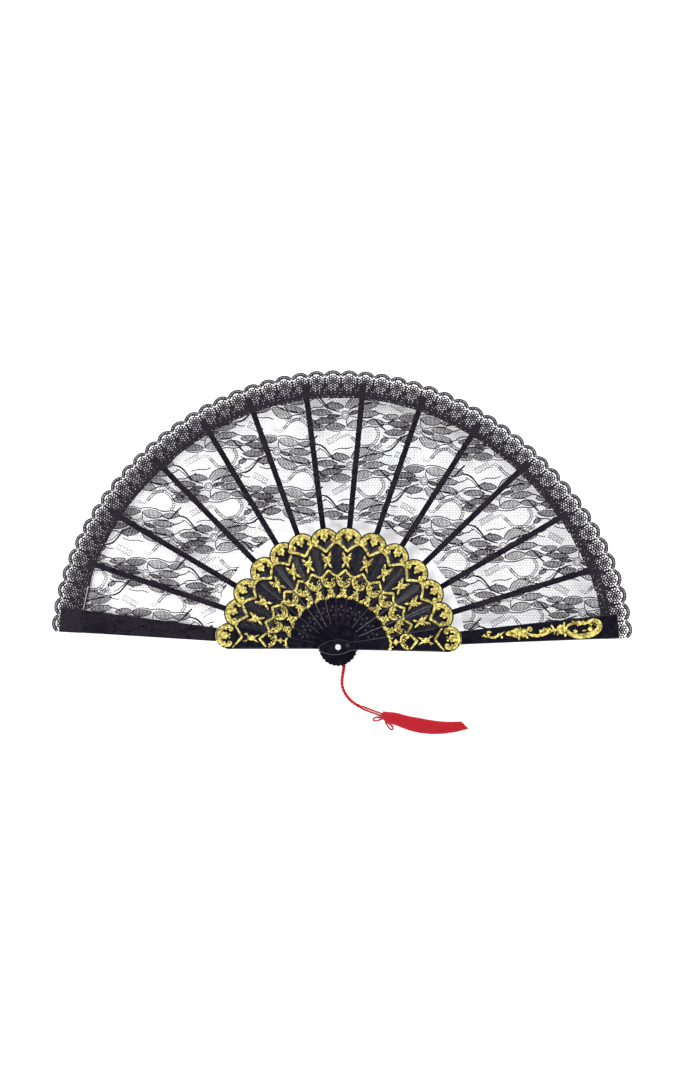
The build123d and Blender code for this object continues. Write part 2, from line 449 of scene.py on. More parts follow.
@dataclass(frozen=True)
class MouldedPlastic:
    """Black injection-moulded plastic: glossy, a little uneven, with faint handling marks.

    Attributes:
        name: the material's name.
        deep: colour in the hollows of the grain.
        lifted: colour on its crests.
        smoothest: least roughness.
        roughest: most roughness.
        depth: how deep the grain looks.
    """

    name: str
    deep: Colour = (0.0018, 0.0013, 0.0038, 1)
    lifted: Colour = (0.0044, 0.0034, 0.0076, 1)
    smoothest: float = 0.15
    roughest: float = 0.26
    depth: float = 0.06

    def make(self) -> Material:
        """Build the material.

        Returns:
            The material.
        """
        material, graph, shader = new_material(self.name)
        grain = graph.add("Group", {"Scale": 260.0, "Depth": self.depth}, node_tree=GRAIN)
        flow = graph.ramp(grain.outputs["Mask"], 0.35, 0.68)
        colour = graph.mix(flow, self.deep, self.lifted)
        roughness = graph.ramp(grain.outputs["Mask"], 0.3, 0.7, (self.smoothest, self.roughest))
        feed(graph, shader, {
            "Base Color": colour,
            "Roughness": roughness,
            "Normal": grain.outputs["Normal"],
            "IOR": 1.5,
            "Coat Roughness": 0.12,
        })
        shader.inputs["Coat Weight"].default_value = 0.25
        return material


@dataclass(frozen=True)
class GoldFoil:
    """Hot-stamped gold foil: olive gold mottled over its grain with painted shade and painted sparkle highlights,
    worn through in specks.

    Attributes:
        name: the material's name.
        shade: the painted shade, the darker tone of that mottle.
        bright: the painted highlight, the brighter tone of that mottle.
        plastic: the black that shows where the foil is worn.
        grain_scale: size of the grain.
        grain_depth: how deep the grain looks.
    """

    name: str = "gold_foil"
    shade: Colour = (0.19, 0.145, 0.028, 1)
    bright: Colour = (0.78, 0.675, 0.20, 1)
    plastic: Colour = (0.012, 0.010, 0.016, 1)
    grain_scale: float = 520.0
    grain_depth: float = 0.6

    def make(self) -> Material:
        """Build the material.

        Returns:
            The material.
        """
        material, graph, shader = new_material(self.name)
        grain = graph.add("Group", {"Scale": self.grain_scale, "Depth": self.grain_depth}, node_tree=GRAIN)
        # Painted light: the grain's noise mixes a dark painted-shade tone with a bright painted-highlight tone, which
        # stand in for sparkle on the relief.
        tone = graph.ramp(grain.outputs["Mask"], 0.40, 0.64)
        foil = graph.mix(tone, self.shade, self.bright)
        worn = graph.ramp(grain.outputs["Fine"], 0.30, 0.33, (1, 0))
        colour = graph.mix(worn, foil, self.plastic)
        metal = graph.ramp(worn, 0, 1, (0.86, 0.0))
        feed(graph, shader, {
            "Base Color": colour,
            "Metallic": metal,
            "Roughness": graph.ramp(grain.outputs["Fine"], 0.3, 0.7, (0.24, 0.40)),
            "Normal": grain.outputs["Normal"],
        })
        return material


@dataclass(frozen=True)
class SpunThread:
    """Twisted or knitted thread, with fibres, fuzz and a soft sheen.

    Attributes:
        name: the material's name.
        shadow: colour between the fibres.
        body: colour of the fibres.
        scale: how fine the fibres are.
        depth: how deep the fibres look.
        sheen: strength of the sheen.
        roughness: roughness of the smoothest fibres.
    """

    name: str
    shadow: Colour
    body: Colour
    scale: float
    depth: float
    sheen: float
    roughness: float = 0.62

    def make(self) -> Material:
        """Build the material.

        Returns:
            The material.
        """
        material, graph, shader = new_material(self.name)
        fibre = graph.add("Group", {"Scale": self.scale, "Depth": self.depth}, node_tree=FIBRE)
        colour = graph.mix(graph.ramp(fibre.outputs["Strand"], 0.1, 0.9), self.shadow, self.body)
        feed(graph, shader, {
            "Base Color": colour,
            "Roughness": graph.ramp(fibre.outputs["Fuzz"], 0.3, 0.7, (self.roughness, self.roughness + 0.2)),
            "Normal": fibre.outputs["Normal"],
            "Sheen Weight": self.sheen,
            "Sheen Roughness": 0.4,
            "Specular IOR Level": 0.22,
        })
        return material


@dataclass(frozen=True)
class PolishedNickel:
    """The rivet's plated steel, with fine grain and faint tarnish.

    Attributes:
        name: the material's name.
        bright: the clean metal.
        tarnish: the dulled metal.
    """

    name: str = "polished_nickel"
    bright: Colour = (0.86, 0.86, 0.87, 1)
    tarnish: Colour = (0.55, 0.54, 0.55, 1)

    def make(self) -> Material:
        """Build the material.

        Returns:
            The material.
        """
        material, graph, shader = new_material(self.name)
        grain = graph.add("Group", {"Scale": 900.0, "Depth": 0.05}, node_tree=GRAIN)
        feed(graph, shader, {
            "Base Color": graph.mix(graph.ramp(grain.outputs["Mask"], 0.4, 0.7), self.bright, self.tarnish),
            "Metallic": 1.0,
            "Roughness": graph.ramp(grain.outputs["Fine"], 0.3, 0.7, (0.10, 0.24)),
            "Normal": grain.outputs["Normal"],
        })
        return material


@dataclass(frozen=True)
class PaperFloor:
    """The studio's pale paper floor, which glows a little, as paper on a light table does.

    Attributes:
        name: the material's name.
        colour: the paper.
        shade: its slightly darker patches.
        glow: strength of its own light.
    """

    name: str = "paper_floor"
    colour: Colour = (0.96, 0.96, 0.96, 1)
    shade: Colour = (0.94, 0.94, 0.94, 1)
    glow: float = 0.18

    def make(self) -> Material:
        """Build the material.

        Returns:
            The material.
        """
        material, graph, shader = new_material(self.name)
        grain = graph.add("Group", {"Scale": 40.0, "Depth": 0.02}, node_tree=GRAIN)
        feed(graph, shader, {
            "Base Color": graph.mix(grain.outputs["Mask"], self.shade, self.colour),
            "Roughness": 0.9,
            "Specular IOR Level": 0.1,
            "Emission Color": (1.0, 1.0, 1.0, 1),
            "Emission Strength": self.glow,
        })
        return material


class Finish(Enum):
    """The finishes of the fan, by what they are on."""

    GUARD = MouldedPlastic("guard_plastic")
    STICK = MouldedPlastic("stick_plastic", smoothest=0.13, roughest=0.24, depth=0.09)
    FOIL = GoldFoil()
    LACE = SpunThread("lace_thread", (0.0022, 0.0010, 0.0034, 1), (0.0085, 0.0050, 0.0115, 1), 1400.0, 0.25, 0.0)
    CORD = SpunThread("cord_thread", (0.20, 0.0004, 0.002, 1), (0.37, 0.0010, 0.004, 1), 1200.0, 0.4, 0.05)
    TASSEL = SpunThread("tassel_thread", (0.23, 0.002, 0.007, 1), (0.40, 0.006, 0.015, 1), 1500.0, 0.5, 0.05)
    NICKEL = PolishedNickel()
    FLOOR = PaperFloor()


@dataclass
class Palette:
    """Materials made once each, and put on pieces.

    Attributes:
        made: the materials made so far.
    """

    made: dict[Finish, Material] = field(default_factory=dict)

    def get(self, finish: Finish) -> Material:
        """Give a finish's material, making it the first time."""
        if finish not in self.made:
            self.made[finish] = finish.value.make()
        return self.made[finish]

    def dress(self, piece: Object, finish: Finish) -> None:
        """Give a new piece one finish."""
        piece.data.materials.clear()
        piece.data.materials.append(self.get(finish))

    def redress(self, node: Object, finish: Finish) -> None:
        """Give a CAD node a finish through its object's material slots."""
        for slot in node.material_slots:
            slot.link = "OBJECT"
            slot.material = self.get(finish)


# ---------------------------------------------------------------------------------------------
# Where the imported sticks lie
# ---------------------------------------------------------------------------------------------


@dataclass(frozen=True)
class FanFrame:
    """Directions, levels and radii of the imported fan.

    Attributes:
        rear_angle: direction of the rear guard, in degrees from +X.
        blade: thickness of a stick's gorge blade.
        rib: thickness of a stick's rib.
        cloth: thickness of the leaf.
        clearance: gap between one level and the next.
        rim: radius of the leaf's scalloped edge at the middle of the fan.
        rim_bow: how much further out the edge is at the guards.
        rim_skew: how much of that bow leans to the front guard.
        seam_depth: from the edge in to the seam between leaf and edging.
        seam_bow: how much further out the seam is at the guards.
        seam_skew: how much of that bow leans to the front guard.
        bow_power: how late the bow begins, towards the guards.
        leaf_inner: radius of the leaf's inner edge.
        end_angle: how far the leaf goes on over each guard's blade.
    """

    rear_angle: float = 174.4
    blade: float = 0.55
    rib: float = 0.40
    cloth: float = 0.15
    clearance: float = 0.05
    rim: float = 206.0
    rim_bow: float = 10.8
    rim_skew: float = 2.2
    seam_depth: float = 17.0
    seam_bow: float = 10.5
    seam_skew: float = 6.5
    bow_power: int = 6
    leaf_inner: float = 95.0
    end_angle: float = 2.6

    @property
    def gaps(self) -> list[float]:
        """Angles from each stick to the next, from the joints' ranges."""
        spreads = [joint for joint in frame["joints"] if joint["name"].startswith("spread_")]
        spreads.sort(key=lambda joint: joint["name"])
        return [joint["range_deg"][1] for joint in spreads]

    @property
    def last(self) -> int:
        """Number of the front guard, where the rear guard is 0."""
        return len(self.gaps)

    def angle(self, index: int) -> float:
        """Direction of a stick, in degrees."""
        return self.rear_angle - sum(self.gaps[:index])

    def body(self, index: int) -> str:
        """Name of a stick's body, which is its node's name too."""
        return {0: "rear_guard", self.last: "front_guard"}.get(index, f"stick_{index:02d}")

    def bottom(self, index: int) -> float:
        """Height of a stick's underside."""
        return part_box(self.body(index))[0].z / MM

    def gorge_top(self, index: int) -> float:
        """Height of a stick's patterned face.

        Args:
            index: the stick's number.

        Returns:
            The height in millimetres.
        """
        if index == 0:
            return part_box("leaf_end_rear")[1].z / MM
        if index == self.last:
            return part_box("front_guard")[1].z / MM
        return self.bottom(index) + self.blade

    def rim_radius(self, angle: float) -> float:
        """Radius of the leaf's scalloped edge in a direction, which bows out towards both guards."""
        lean = math.cos(math.radians(angle))
        return self.rim + (self.rim_bow + self.rim_skew * lean) * lean**self.bow_power

    def seam_radius(self, angle: float) -> float:
        """Radius of the seam between leaf and edging, where it crosses a rib."""
        lean = math.cos(math.radians(angle))
        return self.rim - self.seam_depth + (self.seam_bow + self.seam_skew * lean) * lean**self.bow_power

    def on_stick(self, index: int, height: float) -> Matrix:
        """Place for a mesh drawn along +X, on a stick at a height."""
        turn = Matrix.Rotation(math.radians(self.angle(index)), 4, "Z")
        return Matrix.Translation((0, 0, height * MM)) @ turn


def polar(angle: float, radius: float) -> Vector:
    """Turn a direction in degrees and a radius in millimetres into a point in metres."""
    return Vector((math.cos(math.radians(angle)), math.sin(math.radians(angle)), 0)) * radius * MM


# ---------------------------------------------------------------------------------------------
# Stroke shapes that the ornaments and the lace are drawn with
# ---------------------------------------------------------------------------------------------


def turned(x: float, y: float, degrees: float, along: float, across: float) -> Point:
    """Point at a distance along and across a direction from (x, y)."""
    c, s = math.cos(math.radians(degrees)), math.sin(math.radians(degrees))
    return x + along * c - across * s, y + along * s + across * c


def line(*knots: Knot, closed: bool = False) -> Stroke:
    """A smooth line through changing widths."""
    return Stroke(tuple(knots), closed)


def leaf(x: float, y: float, degrees: float, length: float, width: float, bow: float = 0.0) -> Stroke:
    """A pointed leaf that starts at (x, y).

    Args:
        x: start of the leaf.
        y: start of the leaf.
        degrees: its direction.
        length: its length.
        width: its greatest width.
        bow: how far its middle bows to the left.

    Returns:
        The leaf as one tapered stroke.
    """
    shape = ((0, 0, 0.22), (0.25, 0.6, 0.42), (0.6, 1.0, 0.5), (0.85, 0.6, 0.3), (1, 0, 0.06))
    knots = []
    for along, lift, half in shape:
        px, py = turned(x, y, degrees, along * length, bow * lift)
        knots.append((px, py, half * width))
    return Stroke(tuple(knots))


def ring(x: float, y: float, radius: float, half_width: float, squeeze: float = 1.0, count: int = 8) -> Stroke:
    """A closed round or oval line.

    Args:
        x: its centre along X, in millimetres, as all the sizes are.
        y: its centre along Y.
        radius: its radius along X.
        half_width: the line's half width.
        squeeze: its radius along Y, as a share of the one along X.
        count: number of knots.

    Returns:
        The stroke.
    """
    knots = []
    for step in range(count):
        px, py = turned(x, y, 360 * step / count, radius, 0)
        knots.append((px, y + (py - y) * squeeze, half_width))
    return Stroke(tuple(knots), closed=True)


def dot(x: float, y: float, radius: float) -> Stroke:
    """A small round bead."""
    knots = ((x - radius, y, 0.35 * radius), (x - 0.4 * radius, y, radius), (x + 0.4 * radius, y, radius),
             (x + radius, y, 0.35 * radius))
    return Stroke(knots)


def curl(x: float, y: float, radius: float, start: float, sweep: float, thick: float, thin: float) -> Stroke:
    """A spiral that tightens round (x, y).

    Args:
        x: centre of the spiral.
        y: centre of the spiral.
        radius: its first radius.
        start: direction of its first point from the centre.
        sweep: how far it turns, in degrees, to the left where positive.
        thick: half width at its start.
        thin: half width at its end.

    Returns:
        The spiral as one stroke.
    """
    count = max(4, round(abs(sweep) / 45))
    knots = []
    for step in range(count + 1):
        share = step / count
        px, py = turned(x, y, start + sweep * share, radius * (1 - 0.62 * share), 0)
        knots.append((px, py, thick + (thin - thick) * share))
    return Stroke(tuple(knots))


def blossom(
    x: float, y: float, petals: int, reach: float, petal: float, heart: float, turn: float = 0
) -> list[Stroke]:
    """A round flower of bead petals about a bead heart.

    Args:
        x: its centre along X, in millimetres, as all the sizes are.
        y: its centre along Y.
        petals: number of petals.
        reach: from the heart to the petals' middles.
        petal: a petal's radius.
        heart: the heart's radius.
        turn: direction of the first petal in degrees.

    Returns:
        The strokes.
    """
    strokes = [dot(x, y, heart)]
    for step in range(petals):
        px, py = turned(x, y, turn + 360 * step / petals, reach, 0)
        strokes.append(dot(px, py, petal))
    return strokes


# ---------------------------------------------------------------------------------------------
# Gorge: gilt and black relief on the sticks and guards
# ---------------------------------------------------------------------------------------------


@dataclass(frozen=True)
class GorgeRelief:
    """The relief pressed on every stick's gorge, drawn along +X from the rivet.

    Attributes:
        crest: height of the gilt relief.
        chase: height of the fine lines on the gilt.
        neck_width: half width of the blade where it starts to flare.
        flare_start: where it starts to flare.
        shoulder: where the lobe starts.
        shoulder_width: half width there.
        lobe_centre: centre of the lobe's arc.
        shift: how far out the lobe's scrollwork is moved, for the guards.
    """

    crest: float = 0.135
    chase: float = 0.185
    neck_width: float = 3.4
    flare_start: float = 16.0
    shoulder: float = 81.5
    shoulder_width: float = 10.5
    lobe_centre: float = 78.2
    shift: float = 0.0

    def half_width(self, x: float) -> float:
        """Half width of the blade at a distance from the rivet."""
        slope = (self.shoulder_width - self.neck_width) / (self.shoulder - self.flare_start)
        return self.neck_width + max(0.0, x - self.flare_start) * slope

    def shell(self) -> list[Stroke]:
        """The gilt shell round the lobe, which curls in at both sides.

        Returns:
            The strokes.
        """
        x0 = self.lobe_centre + self.shift
        strokes = []
        arm = ((0, 8.5, 1.6), (20, 8.5, 1.65), (40, 8.5, 1.65), (60, 8.5, 1.6), (76, 8.4, 1.45), (88, 8.2, 1.2))
        knots = []
        for degrees, radius, half in tuple((-d, r, w) for d, r, w in reversed(arm[1:])) + arm:
            knots.append((*turned(x0, 0, degrees, radius, 0), half))
        strokes.append(Stroke(tuple(knots)))
        for side in (1, -1):
            strokes.append(line(
                (x0 + 0.9, side * 8.0, 1.0), (x0 - 0.1, side * 7.0, 0.85), (x0 + 0.3, side * 5.6, 0.85),
                (x0 + 1.8, side * 5.0, 0.8), (x0 + 2.6, side * 5.9, 0.5)))
            strokes += [dot(x0 + 3.6, side * 1.7, 1.05), dot(x0 + 5.4, side * 1.7, 1.0)]
            strokes.append(dot(x0 + 5.0, side * 5.4, 0.55))
        strokes.append(line((x0 + 7.8, 0, 1.8), (x0 + 5.8, 0, 1.7), (x0 + 3.8, 0, 1.5), (x0 + 1.6, 0, 0.9)))
        strokes.append(dot(x0 + 1.4, 0, 0.8))
        return strokes

    def shell_chasing(self) -> list[Stroke]:
        """Fine flutes and veins that stand a little above the shell.

        Returns:
            The strokes.
        """
        x0 = self.lobe_centre + self.shift
        strokes = []
        for degrees in (-78, -62, -46, -30, -15, 0, 15, 30, 46, 62, 78):
            inner = turned(x0, 0, degrees, 7.3, 0)
            outer = turned(x0, 0, degrees + 4, 9.6, 0)
            strokes.append(line((*inner, 0.16), (*outer, 0.30)))
        strokes += blossom(x0 + 4.2, 0, 5, 1.25, 0.42, 0.45)
        rim = []
        for degrees in range(-84, 85, 14):
            rim.append((*turned(x0, 0, degrees, 9.75, 0), 0.22))
        strokes.append(Stroke(tuple(rim)))
        return strokes

    def outer_zigzag(self) -> list[Stroke]:
        """The gilt ribbon that dips at the stick's middle and crests at its edges."""
        half = ((77.3, 9.9, 0.80), (77.3, 8.5, 0.80), (76.6, 6.2, 0.80), (74.4, 3.2, 0.80), (71.5, 0.35, 0.84))
        back = tuple((x, -y, w) for x, y, w in reversed(half))
        return [Stroke(half + back)]

    def butterfly(self) -> list[Stroke]:
        """The round flower with four wing leaves between the two zigzags.

        Returns:
            The strokes.
        """
        strokes = blossom(64.9, 0, 7, 1.75, 0.72, 0.85)
        strokes += [dot(66.9, 0.9, 0.7), dot(66.9, -0.9, 0.7), dot(62.6, 0.7, 0.62), dot(62.6, -0.7, 0.62)]
        for side in (1, -1):
            strokes.append(leaf(66.8, side * 1.1, side * 30, 4.2, 1.8, side * 0.25))
            strokes.append(leaf(62.9, side * 0.7, 180 - side * 29, 4.7, 1.75, side * 0.2))
            strokes.append(leaf(65.6, side * 1.9, side * 64, 1.7, 1.1))
        return strokes

    def inner_zigzag(self) -> list[Stroke]:
        """The gilt ribbon that peaks at the stick's middle."""
        half = ((53.1, 7.1, 0.72), (52.0, 5.9, 0.72), (53.2, 4.2, 0.74), (55.2, 2.0, 0.74), (56.9, 0.35, 0.76))
        back = tuple((x, -y, w) for x, y, w in reversed(half))
        return [Stroke(half + back)]

    def scrollwork(self) -> list[Stroke]:
        """The cluster of scrolls, the drop flower and the garland inside the inner zigzag.

        Returns:
            The strokes.
        """
        strokes = [
            line((51.7, 5.9, 0.4), (50.2, 5.6, 0.62), (48.0, 4.7, 0.85), (46.0, 3.0, 0.95), (44.8, 0.7, 0.85),
                 (45.0, -1.6, 0.78), (46.4, -3.6, 0.72), (48.4, -4.9, 0.66), (50.6, -5.2, 0.6), (51.4, -4.0, 0.5),
                 (50.6, -3.0, 0.42)),
            line((47.2, 2.2, 0.34), (46.5, 0.4, 0.36), (47.2, -1.6, 0.34), (48.6, -3.0, 0.3)),
            dot(50.7, 3.7, 0.72), dot(49.6, 2.6, 0.78), dot(48.3, 3.3, 0.6), dot(48.2, 1.4, 0.7), dot(50.9, 2.0, 0.5),
            dot(47.9, -0.3, 0.5), dot(49.2, -1.6, 0.5), dot(48.9, -3.3, 0.45), dot(50.4, -1.9, 0.42),
            dot(51.6, 4.8, 0.5),
            line((44.4, 0.1, 0.5), (43.4, 0.0, 0.42), (42.6, 0.1, 0.5)),
            *blossom(41.3, 0.1, 5, 1.25, 0.62, 0.45, 36),
            leaf(41.8, 0.9, 58, 1.9, 1.0), leaf(41.8, -0.7, -58, 1.9, 1.0),
            leaf(40.6, 0.9, 122, 1.8, 1.0), leaf(40.6, -0.7, -122, 1.8, 1.0), leaf(40.2, 0.1, 180, 1.8, 1.0),
            line((35.8, 5.0, 0.34), (36.6, 4.5, 0.62), (37.9, 3.4, 0.72), (38.5, 1.8, 0.72), (38.1, 0.4, 0.62),
                 (37.1, -0.3, 0.4)),
            line((38.3, 0.2, 0.45), (38.6, -1.4, 0.74), (37.9, -2.9, 0.68), (36.7, -3.9, 0.5), (35.6, -4.2, 0.3)),
            dot(37.0, 2.2, 0.5), dot(36.4, 3.2, 0.42), dot(37.1, -1.7, 0.44), dot(39.6, 2.6, 0.4),
            dot(39.5, -2.2, 0.38),
        ]
        return strokes

    def raised_black(self) -> list[Stroke]:
        """Black chevron, diamond, edge ridges and ring marks.

        Returns:
            The strokes.
        """
        strokes = [
            line((79.0, 4.2, 0.5), (78.0, 3.2, 0.56), (76.1, 0.35, 0.6), (76.1, -0.35, 0.6), (78.0, -3.2, 0.56),
                 (79.0, -4.2, 0.5)),
            line((79.0, 6.0, 0.3), (76.9, 4.4, 0.34), (74.0, 0.3, 0.36), (74.0, -0.3, 0.36), (76.9, -4.4, 0.34),
                 (79.0, -6.0, 0.3)),
            line((52.0, 1.9, 0.35), (54.0, 0.2, 0.45), (54.0, -0.2, 0.45), (52.0, -1.9, 0.35)),
            line((51.0, 0.9, 0.4), (51.6, 0.0, 0.9), (53.0, 0.0, 0.5)),
            ring(30.2, 0.3, 0.85, 0.16, count=6),
            dot(30.2, 0.3, 0.3),
        ]
        for side in (1, -1):
            strokes.append(line((17, side * (self.half_width(17) - 0.4), 0.2),
                                (46, side * (self.half_width(46) - 0.5), 0.3),
                                (75.5, side * (self.half_width(75.5) - 0.6), 0.4)))
            x0 = self.half_width(60)
            near, middle, far = (side * (x0 - inset) for inset in (2.6, 2.0, 1.0))
            strokes.append(line((54, near, 0.2), (64, middle, 0.22), (73.5, far, 0.26)))
            for step in range(16):
                x = 53.6 + 1.35 * step
                y = self.half_width(x) - 0.95
                strokes.append(Stroke(((x, side * (y - 0.75), 0.26), (x + 0.25, side * (y + 0.25), 0.26))))
        for x, y in ((27.5, 1.9), (27.5, -1.6), (24.0, 0.3)):
            strokes.append(ring(x, y, 0.7, 0.2, count=6))
        return strokes

    def gilt(self) -> Object:
        """Model the gilt relief once, with its chasing.

        Returns:
            The relief, lying on z = 0.
        """
        ground = draw("gilt_ground", self.shell() + self.outer_zigzag() + self.butterfly() + self.inner_zigzag()
                      + self.scrollwork(), corners=1)
        press(ground, self.crest, 0.75)
        chasing = draw("gilt_chasing", self.shell_chasing())
        press(chasing, self.chase, 0.22)
        relief = join("gilt_model", [ground, chasing])
        smooth(relief, 60)
        return relief

    def pebbles(self) -> Object:
        """Model the black relief once: ridges, and a field of small pebbles between the zigzags.

        Returns:
            The relief, lying on z = 0.
        """
        ridges = draw("ridges", self.raised_black())
        press(ridges, 0.22, 0.45)
        bpy.ops.mesh.primitive_ico_sphere_add(subdivisions=2, radius=0.54 * MM)
        pebble = bpy.context.view_layer.objects.active
        edit(pebble)
        bpy.ops.transform.resize(value=(1.0, 0.8, 0.28))
        leave_edit()
        bisect(pebble, [(Vector((0, 0, 0)), Vector((0, 0, -1)))])
        bed = [ridges]
        dice = random.Random(11)
        pitch = 1.5
        for row in range(14):
            for column in range(-7, 8):
                x = 54.2 + pitch * row + dice.uniform(-0.3, 0.3)
                y = pitch * (column + 0.5 * (row % 2)) + dice.uniform(-0.3, 0.3)
                if self.in_field(x, y):
                    size = dice.uniform(0.75, 1.1)
                    place = Matrix.Translation((x * MM, y * MM, 0)) @ Matrix.Diagonal((size, size, 1, 1))
                    place = place @ Matrix.Rotation(dice.uniform(0, math.pi), 4, "Z")
                    bed.append(copy_piece(pebble, "pebble", place))
        drop(pebble)
        relief = join("pebble_model", bed)
        smooth(relief, 60)
        return relief

    def in_field(self, x: float, y: float) -> bool:
        """Tell whether a pebble fits between the zigzags, the edges and the butterfly.

        Args:
            x: the pebble's place along the blade, in millimetres.
            y: its place across the blade.

        Returns:
            True where it fits.
        """
        reach = abs(y)
        crest = 71.5 + 5.8 * math.sin(min(1.0, reach / 8.5) * math.pi / 2) ** 1.2 - 1.9
        dip = 56.9 - 4.9 * min(1.0, reach / 5.9) + 1.9
        in_flower = ((x - 64.3) / 6.9) ** 2 + (y / 3.5) ** 2 < 1
        return dip < x < crest and reach < self.half_width(x) - 2.6 and not in_flower


@dataclass(frozen=True)
class GuardRelief(GorgeRelief):
    """The guards' own arrangement of the same ornaments, and the front guard's scroll.

    Attributes:
        crest: height of the gilt relief.
        chase: height of the fine lines on the gilt.
        shoulder_width: half width of the blade where the lobe starts.
        shift: how far out the lobe's scrollwork is moved.
    """

    crest: float = 0.20
    chase: float = 0.27
    shoulder_width: float = 9.9
    shift: float = 3.8

    def shell(self) -> list[Stroke]:
        """An open crescent with curled ends round a rose.

        Returns:
            The strokes.
        """
        x0 = self.lobe_centre + self.shift
        arm = ((0, 7.5, 1.4), (24, 7.5, 1.4), (48, 7.5, 1.4), (70, 7.4, 1.3), (90, 7.2, 1.2), (106, 6.8, 1.0))
        knots = []
        for degrees, radius, half in tuple((-d, r, w) for d, r, w in reversed(arm[1:])) + arm:
            knots.append((*turned(x0, 0, degrees, radius, 0), half))
        strokes = [Stroke(tuple(knots)), *blossom(x0 + 3.1, 0, 6, 1.9, 1.0, 1.1)]
        strokes.append(line((x0 + 7.0, 0, 2.0), (x0 + 5.8, 0, 1.9), (x0 + 4.2, 0, 1.4)))
        for side in (1, -1):
            strokes.append(line(
                (x0 - 1.8, side * 6.5, 0.9), (x0 - 2.6, side * 5.2, 0.8), (x0 - 1.4, side * 4.1, 0.75),
                (x0 + 0.1, side * 4.5, 0.6), (x0 - 0.4, side * 5.3, 0.5)))
            strokes += [dot(x0 + 2.5, side * 4.9, 0.6), dot(x0 - 0.6, side * 1.1, 0.7)]
        return strokes

    def outer_zigzag(self) -> list[Stroke]:
        """A thin pointed chevron in place of the ribbon."""
        return [line((77.9, 8.1, 0.4), (76.2, 6.2, 0.62), (73.9, 2.8, 0.75), (72.2, 0.3, 0.78), (72.2, -0.3, 0.78),
                     (74.0, -2.8, 0.72), (76.4, -6.0, 0.6), (78.3, -8.4, 0.35))]

    def butterfly(self) -> list[Stroke]:
        """A long spray with a flower at its middle.

        Returns:
            The strokes.
        """
        strokes = blossom(65.0, 0.1, 6, 1.45, 0.72, 0.8)
        for side in (1, -1):
            strokes.append(leaf(66.6, side * 0.9, side * 24, 4.6, 0.95, side * 0.3))
            strokes.append(leaf(63.6, side * 0.9, 180 - side * 27, 4.6, 1.0, side * 0.3))
            strokes.append(leaf(68.2, side * 2.0, side * 60, 1.9, 0.7))
        strokes += [dot(67.5, 0.1, 0.55), dot(62.6, 0.1, 0.55)]
        return strokes

    def inner_zigzag(self) -> list[Stroke]:
        """A pointed chevron that stops short of both edges."""
        return [line((53.5, 5.4, 0.55), (55.2, 3.6, 0.75), (58.6, 0.3, 0.85), (58.6, -0.3, 0.85), (55.2, -3.6, 0.75),
                     (53.5, -5.4, 0.55))]

    def scrollwork(self) -> list[Stroke]:
        """An oval loop with a trailing stem, a drop flower and a double curl.

        Returns:
            The strokes.
        """
        return [
            line((51.9, -5.2, 0.5), (50.6, -4.9, 0.7), (48.6, -3.6, 0.8), (47.4, -1.6, 0.75), (46.8, 0.6, 0.7),
                 (47.0, 3.0, 0.72), (48.6, 4.9, 0.78), (50.8, 5.4, 0.75), (52.4, 4.4, 0.7), (52.3, 2.9, 0.6),
                 (51.0, 2.5, 0.55), (50.4, 3.3, 0.45)),
            dot(48.9, 1.9, 0.7), dot(48.7, -0.1, 0.65), dot(50.2, 0.9, 0.5), dot(49.8, -2.0, 0.6),
            dot(51.2, -3.4, 0.55),
            line((46.4, 0.4, 0.45), (45.2, 0.3, 0.42), (44.2, 0.3, 0.42)),
            *blossom(42.9, 0.3, 5, 1.15, 0.6, 0.6, 36),
            leaf(42.9, 1.2, 78, 1.6, 0.8), leaf(42.9, -0.6, -78, 1.6, 0.8),
            line((36.9, 5.2, 0.5), (38.0, 5.6, 0.6), (38.9, 4.6, 0.7), (38.6, 2.9, 0.68), (38.9, 1.4, 0.66),
                 (39.6, 0.2, 0.7), (38.9, -1.2, 0.66), (38.7, -2.9, 0.68), (38.9, -4.2, 0.7), (37.8, -5.0, 0.6),
                 (36.9, -4.2, 0.5)),
            leaf(39.4, 3.2, 20, 1.8, 0.8), leaf(39.3, -2.6, -20, 1.8, 0.8), dot(40.9, 0.3, 0.5),
        ]

    def raised_black(self) -> list[Stroke]:
        """Edge lines only.

        Returns:
            The strokes.
        """
        strokes = []
        for side in (1, -1):
            strokes.append(line((20, side * (self.half_width(20) - 0.75), 0.12),
                                (72, side * (self.half_width(72) - 0.9), 0.16)))
        return strokes

    def in_field(self, x: float, y: float) -> bool:
        """The guards have no pebbles.

        Args:
            x: the pebble's place along the blade, in millimetres.
            y: its place across the blade.

        Returns:
            False.
        """
        return False

    def tip(self) -> Object:
        """Model the rounded end of the guard's blade, which carries the crescent out past the blade.

        Returns:
            The tip, with its face just under z = 0.
        """
        bpy.ops.mesh.primitive_cylinder_add(
            vertices=96, radius=10.0 * MM, depth=1.9 * MM, location=(81.4 * MM, 0, -0.97 * MM))
        tip = bpy.context.view_layer.objects.active
        tip.name = "blade_tip"
        bpy.ops.object.transform_apply(location=True)
        edit(tip)
        bpy.ops.mesh.bevel(offset=0.18 * MM, segments=2)
        leave_edit()
        smooth(tip, 35)
        return tip

    def neck_ring(self) -> Object:
        """Model the small raised ring beside the front guard's rivet.

        Returns:
            The ring, lying on z = 0.
        """
        eye = draw("neck_ring", [ring(7.1, 0.8, 1.05, 0.28), dot(7.1, 0.8, 0.3)], corners=1)
        press(eye, 0.22, 0.3)
        smooth(eye, 60)
        return eye

